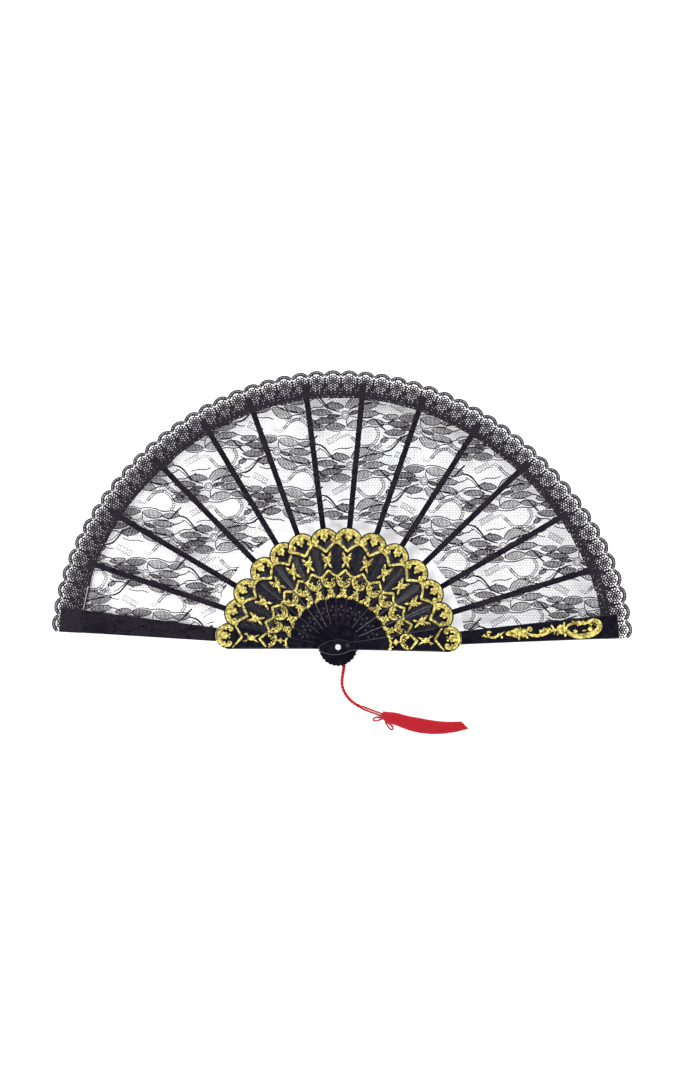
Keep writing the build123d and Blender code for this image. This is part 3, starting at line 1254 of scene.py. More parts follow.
    def scroll(self) -> Object:
        """Model the long scroll of leaves and flowers that ends in an open shell.

        Returns:
            The scroll, lying on z = 0.
        """
        strokes = [
            line((106.8, -0.1, 0.3), (108.6, 0.1, 0.7), (110.0, 0.3, 0.35)), dot(108.8, 0.9, 0.55),
            curl(112.2, 1.6, 1.8, 20, 300, 0.55, 0.5), dot(109.9, -0.7, 0.5),
            line((110.6, 0.2, 0.4), (113.2, -1.5, 0.75), (116.2, -1.7, 0.85), (119.5, -0.2, 0.75),
                 (123.9, 2.2, 0.25)),
            leaf(118.4, -0.6, 60, 2.6, 1.1), leaf(120.2, -0.1, -40, 2.6, 1.2), dot(121.6, -1.9, 0.8),
            leaf(124.7, 0.6, 8, 8.2, 2.2, 0.5), leaf(125.2, -0.2, -6, 7.4, 1.7, -0.3),
            leaf(129.0, 1.8, 22, 5.5, 1.7), leaf(129.5, -1.2, -22, 5.0, 1.6),
            *blossom(133.3, 0.6, 6, 1.7, 0.95, 0.95), *blossom(137.4, 0.3, 7, 2.2, 1.2, 1.2, 12),
            leaf(134.6, -1.8, -100, 3.0, 1.5), leaf(139.4, -1.7, -60, 3.0, 1.5), leaf(135.3, 2.4, 80, 2.4, 1.3),
            dot(140.6, 1.8, 0.95), dot(140.4, -0.5, 0.85), curl(142.9, 2.3, 1.9, 180, -330, 0.75, 0.6),
            line((140.6, -0.4, 0.7), (143.6, -2.0, 0.95), (147.6, -2.8, 1.05), (152.0, -2.2, 1.15),
                 (156.6, -0.3, 1.2), (160.6, 0.8, 0.8), (163.0, 0.7, 0.5)),
            line((149.8, -0.6, 0.5), (151.8, 1.0, 0.85), (154.8, 1.5, 0.9), (158.0, 1.6, 0.6)),
            leaf(150.6, -0.4, 110, 2.4, 1.2), leaf(153.0, 1.2, 80, 2.0, 1.1), dot(150.4, 1.0, 0.6),
            leaf(160.4, 1.6, 118, 3.6, 1.4), leaf(161.6, 0.2, -110, 3.2, 1.3),
            *blossom(166.0, 0.7, 8, 2.3, 1.25, 1.3, 8),
            leaf(168.2, -1.6, -78, 3.6, 1.8), leaf(167.6, 2.6, 70, 3.6, 1.7),
            leaf(163.8, -1.2, -120, 2.6, 1.4), leaf(169.6, 2.0, 40, 3.0, 1.4),
            line((169.5, 1.0, 0.7), (170.6, -1.6, 1.2), (173.6, -4.2, 1.5), (178.4, -5.5, 1.7), (184.0, -5.4, 1.9),
                 (189.4, -4.2, 2.0), (193.6, -1.6, 2.0), (194.9, 1.6, 1.8), (193.6, 4.6, 1.5), (190.6, 6.0, 1.2),
                 (187.6, 5.2, 1.0), (186.9, 3.2, 0.85), (188.6, 2.2, 0.7)),
            line((169.4, 1.6, 0.6), (171.6, 3.6, 0.75), (174.6, 4.5, 0.8), (178.6, 4.6, 0.8), (182.6, 3.4, 0.8),
                 (186.4, 4.6, 0.9)),
            *blossom(179.2, 4.2, 6, 1.3, 0.75, 0.75), *blossom(183.2, 3.9, 5, 0.95, 0.55, 0.55),
            leaf(176.4, 5.0, 150, 2.6, 1.2), leaf(181.6, 4.9, 40, 2.2, 1.1),
            *blossom(176.2, -1.5, 5, 1.0, 0.6, 0.6), leaf(174.4, -2.4, 200, 2.0, 1.1),
            *blossom(187.4, -0.4, 6, 1.15, 0.65, 0.7), leaf(184.6, -1.4, 185, 3.2, 1.2),
        ]
        ground = draw("scroll_ground", strokes, corners=1)
        press(ground, self.crest, 0.8)
        flutes = []
        for step in range(17):
            share = step / 16
            angle = math.radians(-128 + 196 * share)
            inner = (182.5 + 9.4 * math.cos(angle), 0.2 + 3.6 * math.sin(angle), 0.14)
            outer = (182.5 + 13.4 * math.cos(angle + 0.08), 0.2 + 6.6 * math.sin(angle + 0.08), 0.26)
            flutes.append(line(inner, outer))
        chasing = draw("scroll_chasing", flutes)
        press(chasing, self.chase, 0.22)
        relief = join("guard_scrollwork", [ground, chasing])
        smooth(relief, 60)
        return relief


@dataclass(frozen=True)
class Gorge:
    """All the relief, copied from its models on to each stick and guard.

    Attributes:
        fan: where the sticks lie.
        palette: where the finishes come from.
    """

    fan: FanFrame
    palette: Palette

    def settle(self, piece: Object, index: int, finish: Finish) -> None:
        """Dress a relief piece, and make it ride on its stick."""
        self.palette.dress(piece, finish)
        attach(piece, self.fan.body(index))

    def build(self) -> None:
        """Make the relief of every stick and of both guards."""
        fan = self.fan
        gilt = GorgeRelief().gilt()
        pebbles = GorgeRelief().pebbles()
        for index in range(1, fan.last):
            place = fan.on_stick(index, fan.gorge_top(index))
            self.settle(copy_piece(gilt, f"gilt_{index:02d}", place), index, Finish.FOIL)
            self.settle(copy_piece(pebbles, f"pebbles_{index:02d}", place), index, Finish.STICK)
        drop(gilt, pebbles)
        guard = GuardRelief()
        for index, relief, flip in ((0, GuardRelief(crest=0.13, chase=0.18), -1), (fan.last, guard, 1)):
            place = fan.on_stick(index, fan.gorge_top(index)) @ Matrix.Diagonal((1, flip, 1, 1))
            for model, finish, slot in (
                (relief.gilt(), Finish.FOIL, "gold_foil"),
                (relief.pebbles(), Finish.GUARD, "guard_plastic"),
                (relief.tip(), Finish.GUARD, "guard_plastic"),
            ):
                name = f"guard_{model.name}_{index:02d}"
                piece = copy_piece(model, name, place)
                drop(model)
                if flip < 0:
                    edit(piece)
                    bpy.ops.mesh.flip_normals()
                    leave_edit()
                self.settle(piece, index, finish)
        place = fan.on_stick(fan.last, fan.gorge_top(fan.last))
        for model, finish, slot in (
            (guard.scroll(), Finish.FOIL, "gold_foil"),
            (guard.neck_ring(), Finish.GUARD, "guard_plastic"),
        ):
            piece = copy_piece(model, f"front_{model.name}", place)
            drop(model)
            self.settle(piece, fan.last, finish)
            if finish is Finish.FOIL:
                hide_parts("guard_scroll")
        log.info("gorge relief on %d sticks", fan.last + 1)


# ---------------------------------------------------------------------------------------------
# Lace: the pattern, the scalloped edging, and the pleated leaf that is cut from them
# ---------------------------------------------------------------------------------------------


def petal(x: float, y: float, length: float, width: float, degrees: float, cover: float = 0.72) -> list[Stroke]:
    """A woven petal: an outline thread filled with bars across it.

    Args:
        x: centre of the petal.
        y: centre of the petal.
        length: from tip to tip.
        width: at its widest.
        degrees: direction of its length.
        cover: how much of it the bars fill, from 0 to 1.

    Returns:
        The outline and its bars.
    """
    outline = ((-0.52, -0.06), (-0.42, 0.10), (-0.28, 0.40), (-0.1, 0.52), (0.14, 0.54), (0.36, 0.34), (0.50, 0.12),
               (0.52, -0.02), (0.38, -0.26), (0.14, -0.42), (-0.14, -0.50), (-0.38, -0.30))
    knots = []
    for along, lift in outline:
        knots.append((*turned(x, y, degrees, along * length, lift * width), 0.36 if lift > 0 else 0.26))
    strokes = [Stroke(tuple(knots), closed=True)]
    count = round(length / 1.0)
    for step in range(1, count):
        s = length * (step / count - 0.5)
        reach = 0.47 * width * max(0.0, 1 - abs(2 * s / length) ** 2.2)
        low = turned(x, y, degrees, s - 0.2, -0.9 * reach)
        high = turned(x, y, degrees, s + 0.2, reach)
        half = (cover + 0.09) * 0.5 * length / count
        strokes.append(Stroke(((*low, half), (*high, half)), curved=False))
    return strokes


def ladder(
    points: Sequence[Point], width: float, rail: float = 0.2, rung: float = 0.22, every: float = 1.2
) -> list[Stroke]:
    """A ribbon of two rails with rungs between them.

    Args:
        points: the ribbon's middle line.
        width: from rail to rail.
        rail: half width of the rails.
        rung: half width of the rungs, or 0 for none.
        every: step from rung to rung.

    Returns:
        The rails and rungs.
    """
    left, right, strokes = [], [], []
    for index, (x, y) in enumerate(points):
        before = points[max(0, index - 1)]
        after = points[min(len(points) - 1, index + 1)]
        degrees = math.degrees(math.atan2(after[1] - before[1], after[0] - before[0]))
        left.append((*turned(x, y, degrees, 0, width / 2), rail))
        right.append((*turned(x, y, degrees, 0, -width / 2), rail))
    strokes += [Stroke(tuple(left)), Stroke(tuple(right))]
    if rung:
        for index in range(len(points) - 1):
            run = math.dist(points[index], points[index + 1])
            for step in range(round(run / every)):
                share = (step + 0.5) * every / run
                ends = []
                for side in (left, right):
                    x = side[index][0] + (side[index + 1][0] - side[index][0]) * share
                    y = side[index][1] + (side[index + 1][1] - side[index][1]) * share
                    ends.append((x, y, rung))
                strokes.append(Stroke(tuple(ends), curved=False))
    return strokes


@dataclass(frozen=True)
class LacePattern:
    """The floral net lace: a net of hexagons, and a motif repeated on a slanted lattice.

    Attributes:
        mesh: width of one hexagon of the net.
        thread: width of the net's thread.
        origin: centre of one flower of the first kind.
        column: step to the next column of flowers, which is of the other kind.
        row: step to the flower below.
        reach: how far a motif spreads from its flower.
        flatness: thickness of the drawn threads over their width.
    """

    mesh: float = 2.15
    thread: float = 0.185
    origin: Point = (-96.5, 118.9)
    column: Point = (50.8, 26.7)
    row: Point = (4.0, -37.8)
    reach: float = 33.0
    flatness: float = 0.12

    @property
    def tendrils(self) -> tuple[tuple[Knot, ...], ...]:
        """Fine wavy stems that run on from one motif towards the next.

        Returns:
            The stems' knots.
        """
        return (
            ((-27.0, 4.0, 0.2), (-23.0, 6.4, 0.28), (-18.0, 5.6, 0.26), (-14.0, 7.8, 0.22), (-9.0, 10.4, 0.2)),
            ((-28.0, -6.6, 0.22), (-24.0, -4.6, 0.26), (-21.0, -6.6, 0.28), (-16.0, -7.6, 0.24), (-12.0, -11.6, 0.2),
             (-4.0, -12.4, 0.22), (1.0, -10.4, 0.2)),
            ((1.0, -11.0, 0.2), (6.0, -11.6, 0.26), (12.0, -10.4, 0.26), (17.0, -8.0, 0.24), (24.0, -9.4, 0.28),
             (29.0, -7.4, 0.22)),
            ((12.0, 13.0, 0.2), (18.0, 10.4, 0.26), (23.0, 10.6, 0.28), (27.0, 7.2, 0.22), (31.0, 7.6, 0.2)),
            ((22.0, 3.4, 0.22), (25.0, 1.0, 0.28), (29.0, 0.8, 0.26), (33.0, -2.0, 0.2)),
            ((-13.0, 11.4, 0.18), (-8.0, 13.6, 0.24), (-2.0, 12.4, 0.24), (2.0, 14.4, 0.2)),
        )

    def motif(self) -> list[Stroke]:
        """A flower with its petals, stems, ribbon and ladders, drawn about the flower's centre.

        Returns:
            The strokes.
        """
        strokes = [ring(0, 0, 3.3, 0.27), ring(0, 0, 1.9, 0.2, 0.75), ring(0.2, 0.1, 2.6, 0.12)]
        for x, y, length, width, degrees, cover in (
            (-8.0, 6.6, 14.5, 5.2, -5, 0.68), (7.6, 9.4, 16.5, 7.2, 22, 0.48), (17.0, 6.6, 15.5, 5.0, 10, 0.56),
            (7.2, 1.9, 9.4, 2.7, 14, 0.76), (17.2, 0.6, 16.0, 4.8, 3, 0.56), (8.8, -6.8, 15.6, 6.2, 7, 0.48),
            (-7.2, -8.6, 15.0, 5.2, -4, 0.68), (-14.6, -4.4, 16.5, 4.4, 2, 0.72), (-17.6, 1.8, 16.0, 4.8, -2, 0.66),
            (-8.6, -0.9, 9.8, 2.5, 3, 0.78), (22.6, -5.4, 13.0, 4.4, -6, 0.60), (-21.0, -9.8, 12.0, 4.4, -8, 0.58),
        ):
            strokes += petal(x, y, length, width, degrees, cover)
        stems = (
            ((-27, 16.2, 0.3), (-22.5, 16.0, 0.42), (-18.5, 13.0, 0.4), (-14.5, 7.6, 0.36), (-10.5, 3.8, 0.34),
             (-4.0, 2.6, 0.26)),
            ((-24, 13.4, 0.16), (-20.5, 12.2, 0.2), (-16.8, 8.4, 0.2), (-12.6, 4.4, 0.2)),
            ((20.6, -2.4, 0.26), (23.6, -4.0, 0.34), (27.0, -8.6, 0.42), (30.4, -11.4, 0.36)),
            ((2.4, 2.6, 0.2), (4.4, 5.0, 0.24), (8.6, 7.0, 0.28), (14.6, 8.4, 0.3), (20.0, 8.8, 0.26)),
            ((1.6, -3.0, 0.2), (0.8, -5.6, 0.26), (1.8, -8.2, 0.22)),
            ((-21.0, -4.0, 0.2), (-24.6, -4.8, 0.28), (-28.0, -3.2, 0.22)),
            ((-2.6, -2.4, 0.2), (-7.4, -3.2, 0.28), (-12.0, -2.0, 0.3), (-19.6, -1.4, 0.2)),
            ((3.2, -0.6, 0.18), (9.0, -1.6, 0.22), (13.0, -2.6, 0.22), (20.8, -1.8, 0.24)),
        )
        for knots in stems + self.tendrils:
            strokes.append(Stroke(tuple((x, y, 1.65 * half) for x, y, half in knots)))
        hoop = ((-1.6, -16.4), (2.0, -13.6), (5.0, -16.4), (7.8, -19.8), (12.0, -23.2), (17.0, -23.8), (21.8, -21.0),
                (24.8, -16.4), (25.0, -12.0), (22.6, -9.6))
        strokes += ladder(hoop[2:], 2.0, 0.2, 0.24, 1.35)
        strokes += ladder(hoop[:4], 1.3, 0.18, 0)
        strokes += ladder(((-17.4, 17.6), (-14.2, 19.0), (-10.6, 21.2), (-6.4, 23.4)), 4.0, 0.18, 0.16, 1.1)
        strokes += ladder(((18.2, -29.2), (20.4, -26.6), (23.6, -23.8), (27.6, -21.8)), 2.6, 0.2, 0.26, 1.1)
        strokes += petal(29.2, -18.8, 6.4, 3.2, 20, 0.7)
        strokes += ladder(((10.4, 14.8), (15.4, 15.6), (20.6, 14.0), (25.0, 11.2)), 1.5, 0.17, 0.14, 1.5)
        return strokes

    def net(self, low: Point, high: Point, mesh: float, thread: float) -> Object:
        """Weave a net over a rectangle, with its hexagons on one lattice for the whole leaf.

        Args:
            low: lowest corner to cover.
            high: highest corner to cover.
            mesh: width of one hexagon.
            thread: width of the thread.

        Returns:
            The net, lying on z = 0.
        """
        side = mesh / math.sqrt(3)
        step = 3 * side
        x = math.floor(low[0] / mesh) * mesh
        y = math.floor(low[1] / step) * step
        bpy.ops.mesh.primitive_circle_add(
            vertices=6, radius=side * MM, fill_type="NGON", location=(x * MM, y * MM, 0))
        cell = bpy.context.view_layer.objects.active
        bpy.ops.object.transform_apply(location=True)
        edit(cell)
        bpy.ops.mesh.inset(thickness=thread / 2 * MM)
        bpy.ops.mesh.delete(type="FACE")
        leave_edit()
        array(cell, 2, (mesh / 2, 1.5 * side))
        array(cell, math.ceil((high[0] - x) / mesh) + 2, (mesh, 0))
        array(cell, math.ceil((high[1] - y) / step) + 1, (0, step))
        edit(cell)
        bpy.ops.mesh.remove_doubles(threshold=0.02 * MM)
        leave_edit()
        return cell

    def flatten(self, threads: Object) -> None:
        """Press drawn threads flat."""
        edit(threads)
        bpy.ops.transform.resize(value=(1, 1, self.flatness))
        leave_edit()

    def flowers(self, low: Point, high: Point) -> list[tuple[float, float, bool]]:
        """List the flowers whose motifs reach a rectangle.

        Args:
            low: lowest corner.
            high: highest corner.

        Returns:
            The centre of each, and True for the first kind.
        """
        found = []
        for column in range(-4, 8):
            for row in range(-8, 9):
                x = self.origin[0] + column * self.column[0] + row * self.row[0]
                y = self.origin[1] + column * self.column[1] + row * self.row[1]
                inside = (low[0] - self.reach < x < high[0] + self.reach
                          and low[1] - self.reach < y < high[1] + self.reach)
                if inside:
                    found.append((x, y, column % 2 == 0))
        return found


@dataclass(frozen=True)
class Edging:
    """The separate scalloped lace edging, drawn as one scallop whose tip is at a radius along +X.

    Attributes:
        radius: radius of the scallop's tip.
        count: scallops round the leaf.
        depth: width of the edging.
        bow: radius of the scallop's outer thread.
        ground: width of one hexagon of its close ground.
        ground_thread: width of the ground's thread.
    """

    radius: float = 208.0
    count: int = 50
    depth: float = 21.0
    bow: float = 7.8
    ground: float = 1.9
    ground_thread: float = 0.88

    def strokes(self) -> list[Stroke]:
        """The scallop's band, its dotted flower, side leaves and hem.

        Returns:
            The strokes.
        """
        x0 = self.radius - self.bow - 0.3
        strokes = []
        for radius, half in ((self.bow - 0.2, 0.42), (self.bow - 2.2, 0.34)):
            arc = []
            for degrees in range(-58, 59, 14):
                arc.append((*turned(x0, 0, degrees, radius, 0), half))
            strokes.append(Stroke(tuple(arc)))
        for degrees in range(-54, 55, 9):
            inner = turned(x0, 0, degrees, self.bow - 2.2, 0)
            outer = turned(x0, 0, degrees + 3, self.bow - 0.2, 0)
            strokes.append(Stroke(((*inner, 0.42), (*outer, 0.42)), curved=False))
        heart = x0 - 0.6
        strokes.append(dot(heart, 0, 0.6))
        for count, radius, size in ((6, 1.9, 0.52), (11, 3.8, 0.5)):
            for step in range(count):
                px, py = turned(heart, 0, 360 * (step + 0.5 * (count % 2)) / count, radius, 0)
                strokes.append(dot(px, py, size))
        for side in (1, -1):
            strokes.append(line((x0 + 1.6, side * 6.3, 0.6), (x0 - 2.0, side * 5.9, 0.6), (x0 - 4.6, side * 4.2, 0.5),
                                (x0 - 6.2, side * 1.6, 0.45), (x0 - 6.6, side * 0.1, 0.4)))
            strokes += petal(x0 - 7.6, side * 4.0, 5.6, 3.2, side * 58, 0.6)
            strokes += petal(x0 - 4.2, side * 6.2, 4.4, 2.4, side * 20, 0.6)
        for x, size in ((x0 - 8.0, 0.55), (x0 - 9.8, 0.5)):
            for step in range(7):
                strokes.append(dot(x, -5.4 + 1.8 * step, size))
        hem = self.radius - self.depth
        for x, half in ((hem + 2.2, 0.5), (hem + 0.4, 0.42)):
            strokes.append(line((x, -6.6, half), (x, -2.2, half), (x, 2.2, half), (x, 6.6, half)))
        for step in range(9):
            stitch = ((hem + 0.4, -5.9 + 1.4 * step, 0.3), (hem + 2.2, -5.2 + 1.4 * step, 0.3))
            strokes.append(Stroke(stitch, curved=False))
        return strokes

    def scallop(self, pattern: LacePattern) -> Object:
        """Model one scallop with its ground, cut to its wedge.

        Args:
            pattern: the lace that it is made like.

        Returns:
            The scallop, lying on z = 0.
        """
        threads = draw("scallop_threads", self.strokes(), steps=2)
        pattern.flatten(threads)
        inner = self.radius - self.depth
        ground = pattern.net((inner, -7.0), (self.radius, 7.0), self.ground, self.ground_thread)
        centre = self.radius - self.bow - 0.3
        edit(ground)
        bpy.ops.mesh.select_all(action="DESELECT")
        leave_edit()
        for face in ground.data.polygons:
            x, y = face.center.x / MM, face.center.y / MM
            outside = x > centre and math.hypot(x - centre, y) > self.bow - 1.0
            gap = x > centre + 2.0 and 4.7 < math.hypot(x - centre, y) < 5.2
            face.select = outside or gap or x < inner
        edit_faces(ground)
        bpy.ops.mesh.delete(type="FACE")
        leave_edit()
        scallop = join("scallop_model", [threads, ground])
        half = math.radians(self.wedge / 2)
        bisect(scallop, [
            (Vector((0, 0, 0)), Vector((-math.sin(half), math.cos(half), 0))),
            (Vector((0, 0, 0)), Vector((-math.sin(half), -math.cos(half), 0))),
        ])
        return scallop

    @property
    def wedge(self) -> float:
        """Angle that one scallop takes, in degrees."""
        return 175.3 / self.count


def edit_faces(piece: Object) -> None:
    """Open a piece in edit mode with the faces that are marked still selected.

    Args:
        piece: the piece, with the faces to keep selected.
    """
    take(piece)
    bpy.ops.object.mode_set(mode="EDIT")
    bpy.context.tool_settings.mesh_select_mode = (False, False, True)
    bpy.ops.object.mode_set(mode="OBJECT")
    bpy.ops.object.mode_set(mode="EDIT")


@dataclass
class Leaf:
    """The pleated lace leaf: one gore from each stick's middle line to the next, with its edging.

    Attributes:
        fan: where the sticks lie.
        palette: where the finish comes from.
        pattern: the lace that the leaf is cut from.
        edging: the trim along its rim.
        leaf_lift: height of the lace's middle over the cloth's back.
        edging_lift: the same for the edging, which lies on the lace.
        thread_share: estimated area of a gore's cloth, as a share of its width times length; not used.
        glued: how far the lace lies flat past the left stick's middle line.
        fall: how far it takes to come down to the next level.
        climb_from: how far before the right stick's middle line it begins to rise.
        climb: how far it takes to rise on to that stick.
        flower: one motif's threads, which every flower is copied from.
        scallop: one scallop, which the edging is copied from.
    """

    fan: FanFrame
    palette: Palette
    pattern: LacePattern = LacePattern()
    edging: Edging = Edging()
    leaf_lift: float = 0.04
    edging_lift: float = 0.115
    thread_share: float = 0.60
    glued: float = 2.6
    fall: float = 3.0
    climb_from: float = 4.4
    climb: float = 2.0
    flower: Object = field(init=False)
    scallop: Object = field(init=False)

    def __post_init__(self) -> None:
        """Make the motif and the scallop models once."""
        self.flower = draw("flower_model", self.pattern.motif())
        self.pattern.flatten(self.flower)
        self.scallop = self.edging.scallop(self.pattern)

    def spread(self, index: int) -> Point:
        """Directions of a gore's two sides, where the first and last gores cover the guards too."""
        left = self.fan.angle(index - 1) + (self.fan.end_angle if index == 1 else 0)
        right = self.fan.angle(index) - (self.fan.end_angle if index == self.fan.last else 0)
        return left, right

    def side_cuts(self, left: float, right: float) -> list[tuple[Vector, Vector]]:
        """Planes along a gore's two sides."""
        origin = Vector((0, 0, 0))
        return [(origin, polar(left + 90, 1).normalized()), (origin, polar(right - 90, 1).normalized())]

    def chord_cut(self, left: Vector, right: Vector, outwards: int) -> tuple[Vector, Vector]:
        """Plane through two points, upright, that keeps the side of the rivet or the other side.

        Args:
            left: the first point.
            right: the second point.
            outwards: 1 to keep the rivet's side, -1 to keep the other.

        Returns:
            A point of the plane and its normal.
        """
        along = (right - left).normalized()
        normal = Vector((-along.y, along.x, 0))
        if normal.dot(left) < 0:
            normal.negate()
        return left, normal * outwards

    def heights(self, index: int) -> tuple[float, float, float]:
        """Heights of the cloth's back on the left stick, between the sticks and on the right stick.

        Args:
            index: the gore's number, which is its right stick's.

        Returns:
            The three heights in millimetres.
        """
        fan = self.fan
        right = fan.bottom(index)
        left = fan.bottom(index - 1) + fan.rib
        if index == 1:
            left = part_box("leaf_end_rear")[0].z / MM
        middle = right - fan.clearance - fan.cloth
        over = right + fan.rib if index < fan.last else right
        return left, middle, over

    def lay(self, piece: Object, index: int, lift: float) -> None:
        """Lay flat lace on its sticks: over the left rib, then under the right stick's level, then over its rib.

        Args:
            piece: the lace, on z = 0.
            index: the gore's number.
            lift: height of the lace's middle over the cloth's back.
        """
        left, middle, over = self.heights(index)
        left_normal = polar(self.fan.angle(index - 1) - 90, 1).normalized()
        right_normal = polar(self.fan.angle(index) + 90, 1).normalized()
        for vertex in piece.data.vertices:
            from_left = vertex.co.x * left_normal.x + vertex.co.y * left_normal.y
            from_right = vertex.co.x * right_normal.x + vertex.co.y * right_normal.y
            off = min(1.0, max(0.0, (from_left / MM - self.glued) / self.fall))
            on = min(1.0, max(0.0, (self.climb_from - from_right / MM) / self.climb))
            off = off * off * (3 - 2 * off)
            on = on * on * (3 - 2 * on)
            level = left + (middle - left) * off + (over - middle) * on
            vertex.co.z += (level + lift) * MM

    def cut_leaf(self, index: int) -> Object:
        """Cut one gore of the leaf out of the lace.

        Args:
            index: the gore's number, which is its right stick's.

        Returns:
            The gore, laid on its sticks.
        """
        fan, pattern = self.fan, self.pattern
        left, right = self.spread(index)
        inner = [polar(angle, fan.leaf_inner) for angle in (left, right)]
        outer = [polar(angle, fan.seam_radius(angle)) for angle in (left, right)]
        xs = [corner.x / MM for corner in inner + outer]
        ys = [corner.y / MM for corner in inner + outer]
        low, high = (min(xs), min(ys)), (max(xs), max(ys))
        parts = [pattern.net(low, high, pattern.mesh, pattern.thread)]
        for x, y, first_kind in pattern.flowers(low, high):
            place = Matrix.Translation((x * MM, y * MM, 0)) @ Matrix.Diagonal((1, 1 if first_kind else -1, 1, 1))
            flower = copy_piece(self.flower, "flower", place)
            if not first_kind:
                flower.data.flip_normals()
            parts.append(flower)
        gore = join(f"leaf_{index:02d}", parts)
        cuts = self.side_cuts(left, right)
        cuts.append(self.chord_cut(*inner, -1))
        cuts.append(self.chord_cut(*outer, 1))
        bisect(gore, cuts)
        self.lay(gore, index, self.leaf_lift)
        return gore

    def cut_edging(self, index: int) -> Object:
        """Cut one gore's length of the edging, with the seam that joins it to the leaf.

        Args:
            index: the gore's number, which is its right stick's.

        Returns:
            The length of edging, laid on its sticks.
        """
        fan, edging = self.fan, self.edging
        left, right = self.spread(index)
        first = fan.angle(fan.last) - fan.end_angle
        parts = []
        for number in range(edging.count):
            angle = first + edging.wedge * (number + 0.5)
            if right - edging.wedge / 2 < angle < left + edging.wedge / 2:
                scale = fan.rim_radius(angle) / edging.radius
                place = Matrix.Rotation(math.radians(angle), 4, "Z") @ Matrix.Diagonal((scale, scale, 1, 1))
                parts.append(copy_piece(self.scallop, "scallop", place))
        ends = [polar(angle, fan.seam_radius(angle)) / MM for angle in (left, right)]
        seam = []
        for offset, half in ((0.0, 0.62), (1.5, 0.22), (-1.3, 0.18)):
            knots = []
            for step in range(19):
                point = ends[0].lerp(ends[1], step / 18)
                point = point + point.normalized() * offset
                knots.append((point.x, point.y, half))
            seam.append(Stroke(tuple(knots), curved=False))
        threads = draw("seam", seam)
        self.pattern.flatten(threads)
        parts.append(threads)
        edge = join(f"edging_{index:02d}", parts)
        bisect(edge, self.side_cuts(left, right))
        self.lay(edge, index, self.edging_lift)
        return edge

    def build(self) -> None:
        """Make every gore with its edging, and bend each between its two sticks."""
        fan = self.fan
        for index in range(1, fan.last + 1):
            left, right = fan.angle(index - 1), fan.angle(index)
            gore, edge = self.cut_leaf(index), self.cut_edging(index)
            for piece in (gore, edge):
                self.palette.dress(piece, Finish.LACE)
                fan.body(index - 1)
                fan.body(index)
                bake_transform(piece)
            replaced = [f"leaf_fold_{index:02d}"]
            if index == 1:
                replaced.append("leaf_end_rear")
            replaced.append("leaf_end_front" if index == fan.last else f"leaf_panel_{index:02d}")
            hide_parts(*replaced)
            self.declare(index)
            log.info("gore %02d: %d and %d faces", index, len(gore.data.polygons), len(edge.data.polygons))
        drop(self.flower, self.scallop)

    def declare(self, index: int) -> None:
        """Work out a gore's two sides and the larger seam radius at them; nothing is made or returned.

        Args:
            index: the gore's number.
        """
        left, right = self.spread(index)
        seam = max(self.fan.seam_radius(left), self.fan.seam_radius(right))


# ---------------------------------------------------------------------------------------------
# Cord and tassel
# ---------------------------------------------------------------------------------------------


def rods(name: str, paths: Iterable[Sequence[Vector]], radii: Sequence[float], corners: int = 0, steps: int = 1,
         kind: str = "NURBS") -> Object:
    """Make threads along paths in space as one mesh.

    Args:
        name: the object's name.
        paths: the points of each thread, in metres.
        radii: radius at the start, middle and end of each thread, in millimetres.
        corners: 0 for threads of four sides, more for rounder ones.
        steps: runs from one point to the next.
        kind: NURBS for smooth threads, POLY for ones that go through their points.

    Returns:
        The mesh object.
    """
    curve = bpy.data.curves.new(name, "CURVE")
    curve.dimensions = "3D"
    curve.bevel_depth = MM
    curve.bevel_resolution = corners
    curve.resolution_u = steps
    curve.use_fill_caps = True
    for path in paths:
        spline = curve.splines.new(kind)
        spline.points.add(len(path) - 1)
        for number, (point, place) in enumerate(zip(spline.points, path)):
            share = number / (len(path) - 1)
            if share < 0.5:
                radius = radii[0] + (radii[1] - radii[0]) * 2 * share
            else:
                radius = radii[1] + (radii[2] - radii[1]) * (2 * share - 1)
            point.co = (*place, 1)
            point.radius = radius
        spline.order_u = 3
        spline.use_endpoint_u = True
    piece = add_object(name, curve)
    take(piece)
    bpy.ops.object.convert(target="MESH")
    made = bpy.context.view_layer.objects.active
    made.name = name
    return made


def follow(route: Sequence[Knot], resolution: int = 12) -> list[Vector]:
    """Read the points along a smooth line through a route.

    Args:
        route: control points of the line, in millimetres.
        resolution: points from one control point to the next.

    Returns:
        Points along the line, in metres.
    """
    curve = bpy.data.curves.new("route", "CURVE")
    curve.dimensions = "3D"
    curve.resolution_u = resolution
    spline = curve.splines.new("NURBS")
    spline.points.add(len(route) - 1)
    for point, place in zip(spline.points, route):
        point.co = (*[value * MM for value in place], 1)
    spline.order_u = 3
    spline.use_endpoint_u = True
    guide = add_object("route", curve)
    mesh = bpy.data.meshes.new_from_object(guide)
    points = [vertex.co.copy() for vertex in mesh.vertices]
    bpy.data.meshes.remove(mesh)
    drop(guide)
    return points


